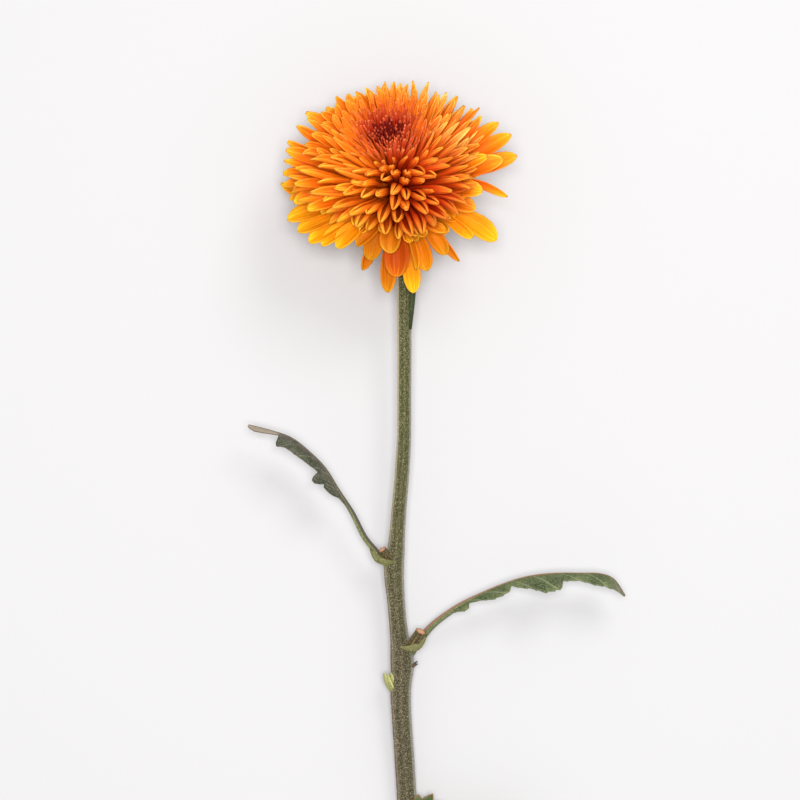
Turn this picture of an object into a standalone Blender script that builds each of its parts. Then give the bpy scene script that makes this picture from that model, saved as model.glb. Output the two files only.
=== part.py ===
"""Disbud chrysanthemum, cut with a length of stem and laid on a table.

One large incurved bloom of several hundred petals sits in a green calyx on a ribbed stem, with three
lobed leaves and the stubs where the side shoots were taken off. The stem rests on its cut end and on
the lowest petals of the bloom. Lengths are in millimetres here, and meshes are made in metres: +Y runs
from the cut end to the bloom, +X to the right and +Z up off the table. The origin is the middle of the
plant's outline on the table.
"""
import math
import random

import bmesh
import bpy
from mathutils import Quaternion, Vector

MM = 0.001
GAP = 0.3                      # clearance between one solid and the next
SEED = 11

# Bloom: a dome of petals round BLOOM_CENTRE, with its dark eye at the end of BLOOM_AXIS
BLOOM_CENTRE = Vector((-16.0, 115.2, 38.0))
BLOOM_AXIS = Vector((-0.13, 0.80, 0.585)).normalized()
GOLDEN_ANGLE = math.radians(137.508)
CORE_RADIUS = 30.0             # solid heart that the petals stand on
PETAL_ROOT = 12.0              # where the petals start, from the centre
CORE_FLOOR = 9.6               # its flat underside, this far behind the centre
FIRST_PETAL = math.radians(13)
LAST_PETAL = math.radians(123)
PETAL_BACK = 0.75              # from a petal's channel to its outer ridge
QUILL = [(0.50, 0.75), (0.80, 1.0)]               # share of the length, share of the width
SPOON = [(0.46, 0.70), (0.76, 1.0), (0.92, 0.8)]
REST_DIP = 0.35                # how far the lowest petals are pressed flat by the table

# Values along the dome, by degrees from the eye: reach of the tips, spacing, width, inward bend, cup
DOME = [
    (0, 31.0, 7.6, 3.8, 18, 0.34),
    (15, 35.0, 8.0, 4.6, 18, 0.34),
    (30, 39.0, 8.6, 5.6, 15, 0.34),
    (50, 43.4, 9.2, 6.4, 10, 0.34),
    (75, 47.2, 10.0, 7.4, 4, 0.30),
    (95, 46.8, 11.0, 8.6, -4, 0.22),
    (110, 44.6, 11.6, 9.4, -10, 0.16),
    (125, 43.6, 12.0, 9.8, -16, 0.14),
]

# Where the dome ends toward the stem: degrees from the stem's line, then how far out the petals may reach
# across the table, on the left and on the right
RIM = [
    (0, 28.0, 28.0),
    (40, 27.0, 28.5),
    (55, 33.0, 29.0),
    (66, 43.0, 30.0),
    (80, 47.0, 33.0),
    (95, 50.0, 43.0),
]
SHORTEST_REACH = 33.0

# The oldest petals, which hang loose round the rim: tip x, y, z, width, degrees of roll
LOOSE_PETALS = [
    (-19.6, 74.4, 43.0, 6.6, 8),
    (-9.4, 74.2, 42.0, 8.4, -6),
    (-16.4, 80.6, 50.0, 10.4, 0),
    (-3.9, 83.6, 45.0, 7.0, 12),
    (-28.6, 83.4, 46.0, 5.0, -38),
    (-24.0, 86.4, 50.0, 7.6, -10),
    (-19.0, 90.2, 55.0, 7.8, 4),
    (3.4, 89.6, 48.0, 5.6, 16),
    (8.0, 87.6, 42.0, 3.6, 52),
    (13.8, 95.8, 46.0, 4.4, 46),
    (23.0, 95.4, 43.0, 9.8, 10),
    (14.2, 108.0, 58.0, 8.0, 12),
    (27.2, 112.0, 46.0, 4.0, 58),
    (17.2, 117.0, 62.0, 8.4, 14),
    (30.8, 128.6, 44.0, 8.6, 16),
    (28.6, 136.4, 45.0, 8.0, 10),
    (23.6, 141.0, 46.0, 7.4, 6),
    (-59.4, 102.6, 44.0, 7.2, -8),
    (-55.4, 97.2, 47.0, 7.4, -8),
    (-50.8, 92.8, 49.0, 7.4, -6),
    (-45.2, 91.8, 50.0, 7.0, -4),
    (-39.2, 91.6, 52.0, 7.0, -2),
]

# Eye: small rolled florets that have not opened
EYE_RADIUS = 4.6
EYE_FLORETS = 16
EYE_TOP = 32.5
EYE_ROOT = 25.0

# Calyx: green cup behind the petals with two rows of pointed bracts, by radius and depth behind the centre
CALYX_TOP = CORE_FLOOR + GAP
CALYX_BASE = 19.0
CALYX_SIDE = [(9.9, CALYX_TOP), (9.8, 11.4), (8.2, 14.2), (5.4, 17.2), (3.5, CALYX_BASE)]
BRACT_ROWS = [                 # count, width, then radius and depth of the root, knee and tip
    (12, 4.6, (5.0, 14.6), (10.6, 14.6), (14.6, 12.2)),
    (9, 4.0, (3.4, 16.8), (8.4, 17.4), (11.4, 15.8)),
]

# Stem centre line: square to the calyx at the neck, then x, y, z and diameter down to the cut end, with
# a swelling at each leaf joint
NECK_DEPTHS = (CALYX_BASE + GAP, CALYX_BASE + 2.4)
NECK_DIAMETER = 5.3
STEM = [
    (-13.3, 94.6, 24.9, 5.4),
    (-13.2, 90.0, 24.5, 5.5),
    (-13.2, 82.0, 24.3, 5.6),
    (-13.1, 72.0, 24.1, 5.7),
    (-13.0, 50.7, 23.2, 5.6),
    (-13.1, 34.0, 22.1, 5.6),
    (-13.2, 17.2, 21.0, 5.7),
    (-14.0, 2.8, 19.9, 5.9),
    (-15.2, -11.7, 18.5, 6.0),
    (-15.9, -21.3, 17.5, 6.4),
    (-16.5, -28.6, 16.9, 7.2),
    (-17.2, -34.2, 16.3, 8.2),
    (-17.0, -40.7, 15.7, 7.8),
    (-16.4, -47.9, 15.0, 7.2),
    (-15.5, -58.4, 14.0, 7.2),
    (-14.7, -65.3, 13.4, 8.0),
    (-14.0, -71.4, 12.8, 9.4),
    (-13.9, -76.3, 12.3, 9.3),
    (-14.5, -82.8, 11.7, 8.6),
    (-14.2, -94.2, 10.6, 8.0),
    (-12.9, -113.7, 8.7, 8.0),
    (-12.0, -128.8, 7.2, 8.0),
    (-11.4, -135.4, 6.5, 8.8),
    (-11.2, -141.5, 5.9, 8.2),
    (-10.4, -157.6, 4.2, 8.2),
]
STEM_RIBS = 8
RIB_DEPTH = 0.10               # share of the stem's radius

# Leaves: midrib x, y, z and stalk diameter, from inside the stem outward
LEFT_MIDRIB = [
    (-19.0, -35.6, 16.0, 4.6),
    (-21.4, -32.6, 16.2, 3.6),
    (-24.6, -28.2, 17.0, 2.6),
    (-29.2, -22.4, 18.0, 2.2),
    (-34.0, -12.8, 19.0, 2.0),
    (-39.6, -3.8, 20.0, 1.9),
    (-45.0, 5.2, 21.0, 1.7),
    (-52.3, 12.6, 22.0, 1.5),
    (-58.7, 17.4, 22.4, 1.3),
    (-66.7, 20.2, 22.6, 1.1),
    (-75.6, 22.2, 22.6, 0.9),
]
RIGHT_MIDRIB = [
    (-12.0, -71.0, 12.2, 4.8),
    (-9.6, -67.6, 12.6, 3.8),
    (-6.4, -63.4, 13.6, 2.8),
    (-1.9, -58.2, 14.8, 2.2),
    (4.1, -53.4, 16.0, 2.0),
    (10.5, -49.2, 17.0, 1.9),
    (17.3, -45.6, 18.0, 1.8),
    (25.2, -42.0, 19.0, 1.6),
    (33.2, -39.2, 19.6, 1.5),
    (41.2, -37.6, 20.0, 1.4),
    (49.1, -37.0, 20.2, 1.2),
    (57.1, -37.0, 20.2, 1.1),
    (65.2, -37.2, 20.0, 1.0),
    (70.8, -39.4, 19.6, 0.9),
    (75.6, -45.2, 19.2, 0.8),
]
LOW_MIDRIB = [
    (-10.2, -139.6, 6.0, 4.2),
    (-8.4, -135.5, 6.8, 3.2),
    (-6.6, -130.5, 7.8, 2.4),
    (-3.0, -128.2, 8.8, 2.0),
    (3.0, -130.0, 9.8, 1.8),
    (10.0, -134.0, 10.6, 1.7),
    (18.0, -139.0, 11.2, 1.6),
    (26.0, -143.5, 11.4, 1.4),
    (34.0, -147.0, 11.2, 1.2),
    (41.0, -149.5, 10.8, 1.0),
    (46.5, -151.0, 10.4, 0.8),
]
# Blades: share of the midrib's length, then the width of the half nearer the eye and of the half nearer
# the table, with a lobe at each peak and a cut between two peaks
LEFT_LOBES = [
    (0.26, 0.8, 0.8), (0.38, 1.2, 1.2), (0.44, 1.6, 3.4), (0.475, 5.0, 7.4), (0.505, 9.4, 9.0),
    (0.53, 11.4, 7.0), (0.555, 9.2, 4.6), (0.585, 6.2, 7.6), (0.63, 6.0, 11.4), (0.68, 6.6, 12.2),
    (0.72, 7.0, 10.0), (0.765, 7.6, 5.4), (0.805, 8.0, 5.0), (0.83, 5.4, 6.2), (0.85, 1.6, 5.4),
    (0.91, 2.2, 3.8), (0.97, 1.8, 2.2), (1.0, 0.5, 0.5),
]
RIGHT_LOBES = [
    (0.20, 0.8, 0.8), (0.31, 1.4, 1.2), (0.345, 4.0, 3.0), (0.38, 2.4, 4.4), (0.43, 3.6, 2.0),
    (0.47, 7.0, 4.0), (0.51, 7.4, 8.0), (0.545, 3.6, 9.4), (0.57, 7.6, 6.0), (0.60, 12.4, 5.0),
    (0.635, 14.6, 10.0), (0.67, 14.2, 12.8), (0.695, 10.0, 12.4), (0.715, 3.8, 9.0), (0.77, 4.4, 5.0),
    (0.81, 7.4, 8.0), (0.86, 9.4, 9.0), (0.90, 9.4, 7.0), (0.945, 6.2, 4.4), (0.98, 3.2, 2.4),
    (1.0, 0.5, 0.5),
]
LOW_LOBES = [
    (0.14, 0.8, 0.8), (0.22, 3.0, 1.4), (0.27, 1.6, 2.4), (0.34, 5.4, 4.0), (0.40, 7.0, 6.4),
    (0.45, 4.0, 4.0), (0.52, 9.6, 6.6), (0.58, 12.4, 9.0), (0.63, 11.6, 9.4), (0.68, 5.6, 5.0),
    (0.74, 8.0, 6.4), (0.82, 9.4, 7.4), (0.90, 7.0, 5.4), (0.96, 3.8, 3.0), (1.0, 0.5, 0.5),
]
# The two halves of a blade: degrees each leans over to the midrib's lower side, from straight up and down
LEAVES = {
    "leaf_left": (LEFT_MIDRIB, LEFT_LOBES, 37, 22),
    "leaf_right": (RIGHT_MIDRIB, RIGHT_LOBES, 36, 20),
    "leaf_low": (LOW_MIDRIB, LOW_LOBES, 48, 64),
}
BLADE_THICKNESS = 0.8
LOBE_SWEEP = 0.15              # how far the lobes lean toward the leaf's tip
BLADE_ARCH = 0.10              # how far each half bows out, as a share of its width

# Side-shoot stubs in the two upper leaf joints: root, cut end, diameter
STUBS = {
    "shoot_stub_left": ((-17.4, -33.0, 19.0), (-21.6, -27.6, 23.0), 3.8),
    "shoot_stub_right": ((-12.8, -68.6, 16.4), (-7.4, -61.4, 20.6), 4.4),
}
# Small leafy outgrowths of the stem: root, knee, tip, width
BRACTLETS = {
    "bud_left": ((-16.6, -86.4, 12.4), (-20.2, -84.2, 13.2), (-20.8, -78.4, 13.8), 3.4),
    "bractlet_right": ((-11.8, -76.4, 13.4), (-8.8, -75.0, 14.0), (-7.4, -71.4, 14.6), 2.0),
    "neck_bract": ((-12.0, 58.8, 24.0), (-8.4, 63.0, 25.0), (-8.8, 83.0, 26.4), 3.4),
}


def clear_scene():
    for item in list(bpy.data.objects):
        bpy.data.objects.remove(item, do_unlink=True)


def new_collection(name):
    made = bpy.data.collections.new(name)
    bpy.context.scene.collection.children.link(made)
    return made


def new_material(name, colour, roughness, metallic=0.0):
    made = bpy.data.materials.new(name)
    made.use_nodes = True
    shader = made.node_tree.nodes["Principled BSDF"]
    shader.inputs["Base Color"].default_value = (*colour, 1.0)
    shader.inputs["Roughness"].default_value = roughness
    shader.inputs["Metallic"].default_value = metallic
    made.diffuse_color = (*colour, 1.0)
    return made


def object_from(name, bm, collection):
    """Turn a bmesh in millimetres into an object in metres, with its faces pointing out."""
    bmesh.ops.scale(bm, vec=(MM, MM, MM), verts=bm.verts)
    bmesh.ops.recalc_face_normals(bm, faces=bm.faces)
    mesh = bpy.data.meshes.new(name)
    bm.to_mesh(mesh)
    bm.free()
    made = bpy.data.objects.new(name, mesh)
    collection.objects.link(made)
    return made


def as_cutter(item):
    item.hide_render = True
    item.display_type = "WIRE"


def apply_modifiers(item):
    """Replace the object's mesh with what its modifiers give, and take the modifiers off."""
    depsgraph = bpy.context.evaluated_depsgraph_get()
    mesh = bpy.data.meshes.new_from_object(item.evaluated_get(depsgraph))
    item.modifiers.clear()
    item.data = mesh


def boolean(item, operation, other, solver="EXACT"):
    step = item.modifiers.new(operation.lower(), "BOOLEAN")
    step.operation = operation
    step.solver = solver
    if isinstance(other, bpy.types.Collection):
        step.operand_type = "COLLECTION"
        step.collection = other
    else:
        step.object = other
    apply_modifiers(item)


def fuse(item, others, solver="EXACT"):
    """Join loose shapes to item with one union, and remove them."""
    loose = new_collection(item.name + "_loose")
    for other in others:
        for holder in list(other.users_collection):
            holder.objects.unlink(other)
        loose.objects.link(other)
    boolean(item, "UNION", loose, solver)
    for other in list(loose.objects):
        bpy.data.objects.remove(other, do_unlink=True)
    bpy.data.collections.remove(loose)


def keep_outer_skin(item):
    """Drop the small closed pockets that a union leaves inside, and keep the one outer skin."""
    bm = bmesh.new()
    bm.from_mesh(item.data)
    left = set(bm.verts)
    islands = []
    while left:
        island = {left.pop()}
        edge_of_island = list(island)
        while edge_of_island:
            vert = edge_of_island.pop()
            for edge in vert.link_edges:
                other = edge.other_vert(vert)
                if other in left:
                    left.discard(other)
                    island.add(other)
                    edge_of_island.append(other)
        islands.append(island)
    largest = max(islands, key=len)
    bmesh.ops.delete(bm, geom=[vert for vert in bm.verts if vert not in largest], context="VERTS")
    bm.to_mesh(item.data)
    bm.free()


def finish(item, material, sharp_angle):
    item.data.materials.clear()
    item.data.materials.append(material)
    item.data.shade_smooth()
    item.data.set_sharp_from_angle(angle=math.radians(sharp_angle))


def between(table, at, column):
    """Read one column of a table between its rows, in straight lines."""
    if at <= table[0][0]:
        return table[0][column]
    for low, high in zip(table, table[1:]):
        if at <= high[0]:
            share = (at - low[0]) / (high[0] - low[0])
            return low[column] + share * (high[column] - low[column])
    return table[-1][column]


def ribbed_profile(name, ribs, depth, collection):
    """Closed outline of radius 1 mm with a ridge at every other point, for a curve to follow."""
    curve = bpy.data.curves.new(name, "CURVE")
    curve.dimensions = "2D"
    curve.fill_mode = "NONE"
    spline = curve.splines.new("POLY")
    spline.points.add(2 * ribs - 1)
    for step, point in enumerate(spline.points):
        radius = MM if step % 2 == 0 else MM * (1 - depth)
        angle = math.pi * step / ribs
        point.co = (radius * math.cos(angle), radius * math.sin(angle), 0, 1)
    spline.use_cyclic_u = True
    made = bpy.data.objects.new(name, curve)
    collection.objects.link(made)
    as_cutter(made)
    return made


def tube(name, stations, collection, profile=None, sides=3, extra=0.0):
    """Solid along stations of x, y, z and diameter, made as a curve and welded into a mesh."""
    curve = bpy.data.curves.new(name, "CURVE")
    curve.dimensions = "3D"
    curve.use_fill_caps = True
    if profile:
        curve.bevel_mode = "OBJECT"
        curve.bevel_object = profile
    else:
        curve.bevel_depth = MM
        curve.bevel_resolution = sides
    spline = curve.splines.new("POLY")
    spline.points.add(len(stations) - 1)
    for point, (x, y, z, diameter) in zip(spline.points, stations):
        point.co = (x * MM, y * MM, z * MM, 1)
        point.radius = diameter / 2 + extra
    guide = bpy.data.objects.new(name, curve)
    bpy.context.scene.collection.objects.link(guide)
    depsgraph = bpy.context.evaluated_depsgraph_get()
    mesh = bpy.data.meshes.new_from_object(guide.evaluated_get(depsgraph))
    bpy.data.objects.remove(guide, do_unlink=True)
    bm = bmesh.new()
    bm.from_mesh(mesh)
    bmesh.ops.remove_doubles(bm, verts=bm.verts, dist=0.00001)
    bmesh.ops.recalc_face_normals(bm, faces=bm.faces)
    bm.to_mesh(mesh)
    bm.free()
    made = bpy.data.objects.new(name, mesh)
    collection.objects.link(made)
    return made


def on_bezier(root, knee, tip, share):
    return root * (1 - share) ** 2 + knee * (2 * share * (1 - share)) + tip * share ** 2


def laid_down(points, floor):
    """Bend a line of points along the table where it would go below it, keeping its length."""
    laid = [points[0]]
    for start, end in zip(points, points[1:]):
        step = end - start
        drop = max(step.z, floor - laid[-1].z)
        if drop > step.z:
            flat = Vector((step.x, step.y, 0))
            if flat.length < 0.5:
                flat = Vector((laid[-1].x - BLOOM_CENTRE.x, laid[-1].y - BLOOM_CENTRE.y + 0.5, 0))
            reach = math.sqrt(max(step.length ** 2 - drop ** 2, 0.0))
            step = flat.normalized() * reach + Vector((0, 0, drop))
        laid.append(laid[-1] + step)
    return laid


def petal(name, root, knee, tip, facing, width, cup, outline, collection, roll=0.0):
    """One channelled petal: a point at the root, rings of four points, and a point at the tip."""
    shares = [0.0] + [share for share, _ in outline] + [1.0]
    line = laid_down([on_bezier(root, knee, tip, share) for share in shares], PETAL_BACK - REST_DIP)
    bm = bmesh.new()
    start = bm.verts.new(line[0])
    rings = []
    for step, (_, breadth) in enumerate(outline, start=1):
        tangent = (line[step + 1] - line[step - 1]).normalized()
        inward = (facing - tangent * facing.dot(tangent)).normalized()
        inward = Quaternion(tangent, roll) @ inward
        half = tangent.cross(inward) * (width * breadth / 2)
        rise = inward * (cup * width * breadth)
        middle = line[step]
        corners = [middle - half + rise, middle, middle + half + rise, middle - inward * PETAL_BACK]
        rings.append([bm.verts.new(corner) for corner in corners])
    end = bm.verts.new(line[-1] + inward * (cup * width * 0.4))
    for corner in range(4):
        following = (corner + 1) % 4
        bm.faces.new([start, rings[0][following], rings[0][corner]])
        bm.faces.new([rings[-1][corner], rings[-1][following], end])
        for low, high in zip(rings, rings[1:]):
            bm.faces.new([low[corner], low[following], high[following]])
            bm.faces.new([low[corner], high[following], high[corner]])
    return object_from(name, bm, collection)


def bloom_frame():
    """Two directions square to the bloom's axis."""
    across = BLOOM_AXIS.cross(Vector((0, 0, 1))).normalized()
    return across, across.cross(BLOOM_AXIS).normalized()


def dome_direction(polar, azimuth):
    across, upward = bloom_frame()
    outward = across * math.cos(azimuth) + upward * math.sin(azimuth)
    return BLOOM_AXIS * math.cos(polar) + outward * math.sin(polar)


def rim_reach(direction):
    """Farthest a petal may go in a direction, so that it stays inside the rim as seen from above."""
    across = math.hypot(direction.x, direction.y)
    from_stem = math.degrees(math.acos(max(-1.0, min(1.0, -direction.y / across))))
    return between(RIM, from_stem, 1 if direction.x < 0 else 2) / across


def dome_petals(collection):
    """Petals in one spiral from the eye outward, each a golden angle on from the last."""
    chance = random.Random(SEED)
    made = []
    number = 0
    polar = FIRST_PETAL
    while polar < LAST_PETAL:
        degrees = math.degrees(polar)
        reach, spacing, width, bend, cup = [between(DOME, degrees, column) for column in range(1, 6)]
        reach *= chance.uniform(0.95, 1.04)
        width *= chance.uniform(0.9, 1.1)
        azimuth = GOLDEN_ANGLE * number
        stray = math.radians(chance.uniform(-2, 2))
        direction = dome_direction(polar + stray, azimuth)
        ended = dome_direction(polar + stray - math.radians(bend), azimuth)
        facing = (BLOOM_AXIS - direction * BLOOM_AXIS.dot(direction)).normalized()
        reach = min(reach, rim_reach(direction))
        number += 1
        polar += 0.87 * spacing ** 2 / (2 * math.pi * reach ** 2 * math.sin(polar))
        if reach < SHORTEST_REACH:
            continue
        root = BLOOM_CENTRE + direction * PETAL_ROOT
        knee = BLOOM_CENTRE + direction * (reach * 0.9)
        tip = BLOOM_CENTRE + ended * reach
        outline = QUILL if degrees < 88 else SPOON
        roll = math.radians(chance.uniform(-14, 14))
        name = "petal_%03d" % number
        made.append(petal(name, root, knee, tip, facing, width, cup, outline, collection, roll))
    return made


def loose_petals(collection):
    made = []
    for number, (x, y, z, width, roll) in enumerate(LOOSE_PETALS):
        tip = Vector((x, y, z))
        outward = (tip - BLOOM_CENTRE).normalized()
        facing = (BLOOM_AXIS - outward * BLOOM_AXIS.dot(outward)).normalized()
        sprung = (outward + facing * 0.42).normalized()
        root = BLOOM_CENTRE + sprung * PETAL_ROOT
        knee = BLOOM_CENTRE + sprung * 36
        name = "loose_petal_%02d" % number
        made.append(
            petal(name, root, knee, tip, facing, width, 0.14, SPOON, collection, math.radians(roll))
        )
    return made


def bloom_core(collection):
    bm = bmesh.new()
    bmesh.ops.create_uvsphere(bm, u_segments=14, v_segments=8, radius=CORE_RADIUS)
    bmesh.ops.translate(bm, vec=BLOOM_CENTRE, verts=bm.verts)
    cut = bmesh.ops.bisect_plane(
        bm,
        geom=bm.verts[:] + bm.edges[:] + bm.faces[:],
        plane_co=BLOOM_CENTRE - BLOOM_AXIS * CORE_FLOOR,
        plane_no=-BLOOM_AXIS,
        clear_outer=True,
    )
    edges = [item for item in cut["geom_cut"] if isinstance(item, bmesh.types.BMEdge)]
    bmesh.ops.contextual_create(bm, geom=edges)
    return object_from("ray_florets", bm, collection)


def table_slab(collection):
    bm = bmesh.new()
    bmesh.ops.create_cube(bm, size=1)
    bmesh.ops.scale(bm, vec=(240, 400, 10), verts=bm.verts)
    bmesh.ops.translate(bm, vec=(0, 0, -5), verts=bm.verts)
    made = object_from("table_cut", bm, collection)
    as_cutter(made)
    return made


def along_axis(radius, depth, turn):
    """Point at a radius from the bloom's axis and a depth behind its centre."""
    across, upward = bloom_frame()
    outward = across * math.cos(turn) + upward * math.sin(turn)
    return BLOOM_CENTRE - BLOOM_AXIS * depth + outward * radius


def set_on_axis(bm):
    """Carry a shape made upright at the origin to the bloom's centre and along its axis."""
    turn = BLOOM_AXIS.to_track_quat("Z", "Y").to_matrix()
    bmesh.ops.rotate(bm, cent=(0, 0, 0), matrix=turn, verts=bm.verts)
    bmesh.ops.translate(bm, vec=BLOOM_CENTRE, verts=bm.verts)


def eye(collection):
    """Cluster of short closed florets, each a narrow cone, on one small cushion."""
    florets = []
    for number in range(EYE_FLORETS):
        share = math.sqrt((number + 0.5) / EYE_FLORETS)
        direction = dome_direction(share * EYE_RADIUS / EYE_TOP, GOLDEN_ANGLE * number)
        length = EYE_TOP - EYE_ROOT - 1 - 1.6 * (1 - share)
        bm = bmesh.new()
        bmesh.ops.create_cone(bm, cap_ends=True, segments=5, radius1=0.9, radius2=0.4, depth=length)
        bmesh.ops.translate(bm, vec=(0, 0, EYE_ROOT + 1 + length / 2), verts=bm.verts)
        turn = direction.to_track_quat("Z", "Y").to_matrix()
        bmesh.ops.rotate(bm, cent=(0, 0, 0), matrix=turn, verts=bm.verts)
        bmesh.ops.translate(bm, vec=BLOOM_CENTRE, verts=bm.verts)
        florets.append(object_from("eye_floret_%02d" % number, bm, collection))
    bm = bmesh.new()
    narrow = EYE_RADIUS * 0.8
    bmesh.ops.create_cone(bm, cap_ends=True, segments=16, radius1=narrow, radius2=EYE_RADIUS, depth=3)
    bmesh.ops.translate(bm, vec=(0, 0, EYE_ROOT + 1.5), verts=bm.verts)
    set_on_axis(bm)
    made = object_from("disc_florets", bm, collection)
    fuse(made, florets, "MANIFOLD")
    return made


def eye_socket(collection):
    """Cutter that opens the bloom's heart round the eye."""
    bm = bmesh.new()
    depth = EYE_TOP + 8 - EYE_ROOT
    wide = EYE_RADIUS + 1.0
    bmesh.ops.create_cone(bm, cap_ends=True, segments=16, radius1=wide, radius2=wide + 1.4, depth=depth)
    bmesh.ops.translate(bm, vec=(0, 0, EYE_ROOT - GAP + depth / 2), verts=bm.verts)
    set_on_axis(bm)
    made = object_from("eye_socket", bm, collection)
    as_cutter(made)
    return made


def calyx(collection):
    """Turned cup with bracts fused to its side."""
    mesh = bpy.data.meshes.new("calyx")
    outline = [(0.0, CALYX_TOP)] + CALYX_SIDE + [(0.0, CALYX_BASE)]
    corners = [(radius * MM, 0, -depth * MM) for radius, depth in outline]
    mesh.from_pydata(corners, [(step, step + 1) for step in range(len(corners) - 1)], [])
    made = bpy.data.objects.new("calyx", mesh)
    collection.objects.link(made)
    turned = made.modifiers.new("turned", "SCREW")
    turned.steps = 18
    turned.render_steps = 18
    turned.use_merge_vertices = True
    turned.merge_threshold = 0.00001
    made.rotation_mode = "QUATERNION"
    made.rotation_quaternion = BLOOM_AXIS.to_track_quat("Z", "Y")
    made.location = BLOOM_CENTRE * MM
    bpy.context.view_layer.update()
    bracts = []
    for row, (count, width, root, knee, tip) in enumerate(BRACT_ROWS):
        for number in range(count):
            turn = 2 * math.pi * (number + row / 2) / count
            points = [along_axis(radius, depth, turn) for radius, depth in (root, knee, tip)]
            name = "bract_%d_%02d" % (row, number)
            bracts.append(petal(name, *points, BLOOM_AXIS, width, 0.12, QUILL, collection))
    fuse(made, bracts)
    return made


def stem_stations():
    neck = [(*(BLOOM_CENTRE - BLOOM_AXIS * depth), NECK_DIAMETER) for depth in NECK_DEPTHS]
    return neck + STEM


def along_line(stations, share):
    """Point, direction and the rest of a line of stations at a share of its length."""
    points = [Vector(station[:3]) for station in stations]
    lengths = [(end - start).length for start, end in zip(points, points[1:])]
    left = share * sum(lengths)
    for start, end, length in zip(points, points[1:], lengths):
        if left <= length or end is points[-1]:
            return start.lerp(end, min(left / length, 1.0)), (end - start).normalized()
        left -= length


def blade(name, midrib, lobes, near_lean, far_lean, collection):
    """Both halves of a lobed blade as one open sheet folded at the midrib, thickened."""
    near_lean = math.radians(near_lean)
    far_lean = math.radians(far_lean)
    bm = bmesh.new()
    rows = []
    for step, (share, near, far) in enumerate(lobes):
        middle, tangent = along_line(midrib, share)
        lower_side = Vector((tangent.y, -tangent.x, 0)).normalized()
        if lower_side.y > 0:
            lower_side = -lower_side
        near_way = lower_side * math.sin(near_lean) + Vector((0, 0, math.cos(near_lean)))
        far_way = lower_side * math.sin(far_lean) - Vector((0, 0, math.cos(far_lean)))
        row = []
        halves = [(far_way, far, 1), (far_way, far, 0.5), (near_way, near, 0.5), (near_way, near, 1)]
        for way, width, reach in halves:
            out = (way - tangent * way.dot(tangent)).normalized() + tangent * LOBE_SWEEP
            bow = -lower_side * (BLADE_ARCH * width)
            if reach == 1:
                bow *= 0.5 if step % 2 else -0.5
            row.append(bm.verts.new(middle + out * (width * reach) + bow))
        row.insert(2, bm.verts.new(middle))
        rows.append(row)
    for low, high in zip(rows, rows[1:]):
        for column in range(4):
            bm.faces.new([low[column], low[column + 1], high[column + 1]])
            bm.faces.new([low[column], high[column + 1], high[column]])
    made = object_from(name, bm, collection)
    skin = made.modifiers.new("thickness", "SOLIDIFY")
    skin.thickness = BLADE_THICKNESS * MM
    skin.offset = 0
    apply_modifiers(made)
    return made


def leaf(name, midrib, lobes, near_lean, far_lean, stem_room, collection):
    """Stalk and midrib as one tapering tube, with the blade fused on and the foot cut to the stem."""
    made = tube(name, midrib, collection)
    fuse(made, [blade(name + "_blade", midrib, lobes, near_lean, far_lean, collection)], "MANIFOLD")
    boolean(made, "DIFFERENCE", stem_room)
    keep_outer_skin(made)
    return made


def stub(name, root, end, diameter, profile, stem_room, collection):
    made = tube(name, [(*root, diameter), (*end, diameter)], collection, profile)
    boolean(made, "DIFFERENCE", stem_room)
    keep_outer_skin(made)
    return made


def bractlet(name, root, knee, tip, width, stem_room, collection):
    facing = Vector((-1, 0, 0)) if knee[0] > root[0] else Vector((1, 0, 0))
    made = petal(name, Vector(root), Vector(knee), Vector(tip), facing, width, 0.1, QUILL, collection)
    boolean(made, "DIFFERENCE", stem_room)
    keep_outer_skin(made)
    return made


clear_scene()
plant = new_collection("disbud_chrysanthemum")
cutters = new_collection("cutters")

petal_orange = new_material("petal_orange", (0.90, 0.36, 0.05), 0.55)
eye_maroon = new_material("eye_maroon", (0.20, 0.03, 0.02), 0.60)
stem_green = new_material("stem_green", (0.16, 0.16, 0.06), 0.65)
leaf_green = new_material("leaf_green", (0.12, 0.17, 0.07), 0.60)
young_green = new_material("young_green", (0.38, 0.38, 0.12), 0.60)
cut_pith = new_material("cut_pith", (0.72, 0.40, 0.24), 0.75)

bloom = bloom_core(plant)
fuse(bloom, dome_petals(plant) + loose_petals(plant), "MANIFOLD")
boolean(bloom, "DIFFERENCE", table_slab(cutters), "MANIFOLD")
boolean(bloom, "DIFFERENCE", eye_socket(cutters), "MANIFOLD")
keep_outer_skin(bloom)
finish(bloom, petal_orange, 50)
finish(eye(plant), eye_maroon, 40)
finish(calyx(plant), young_green, 50)

ribs = ribbed_profile("stem_ribs", STEM_RIBS, RIB_DEPTH, cutters)
finish(tube("stem", stem_stations(), plant, ribs), stem_green, 60)
stem_room = tube("stem_room", stem_stations(), cutters, ribs, extra=GAP)
as_cutter(stem_room)
for name, (midrib, lobes, near_lean, far_lean) in LEAVES.items():
    finish(leaf(name, midrib, lobes, near_lean, far_lean, stem_room, plant), leaf_green, 50)
for name, (root, end, diameter) in STUBS.items():
    finish(stub(name, root, end, diameter, ribs, stem_room, plant), cut_pith, 50)
for name, (root, knee, tip, width) in BRACTLETS.items():
    finish(bractlet(name, root, knee, tip, width, stem_room, plant), young_green, 50)
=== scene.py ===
"""Looks of the disbud chrysanthemum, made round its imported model.

The flower lies on a table: +Y runs from the cut end of the stem to the bloom, +X to the right and +Z up.
Lengths are in millimetres until a mesh is finished, which is then brought to metres.
"""
import math
import random

import bpy
import numpy as np
from mathutils import Matrix, Quaternion, Vector


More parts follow.
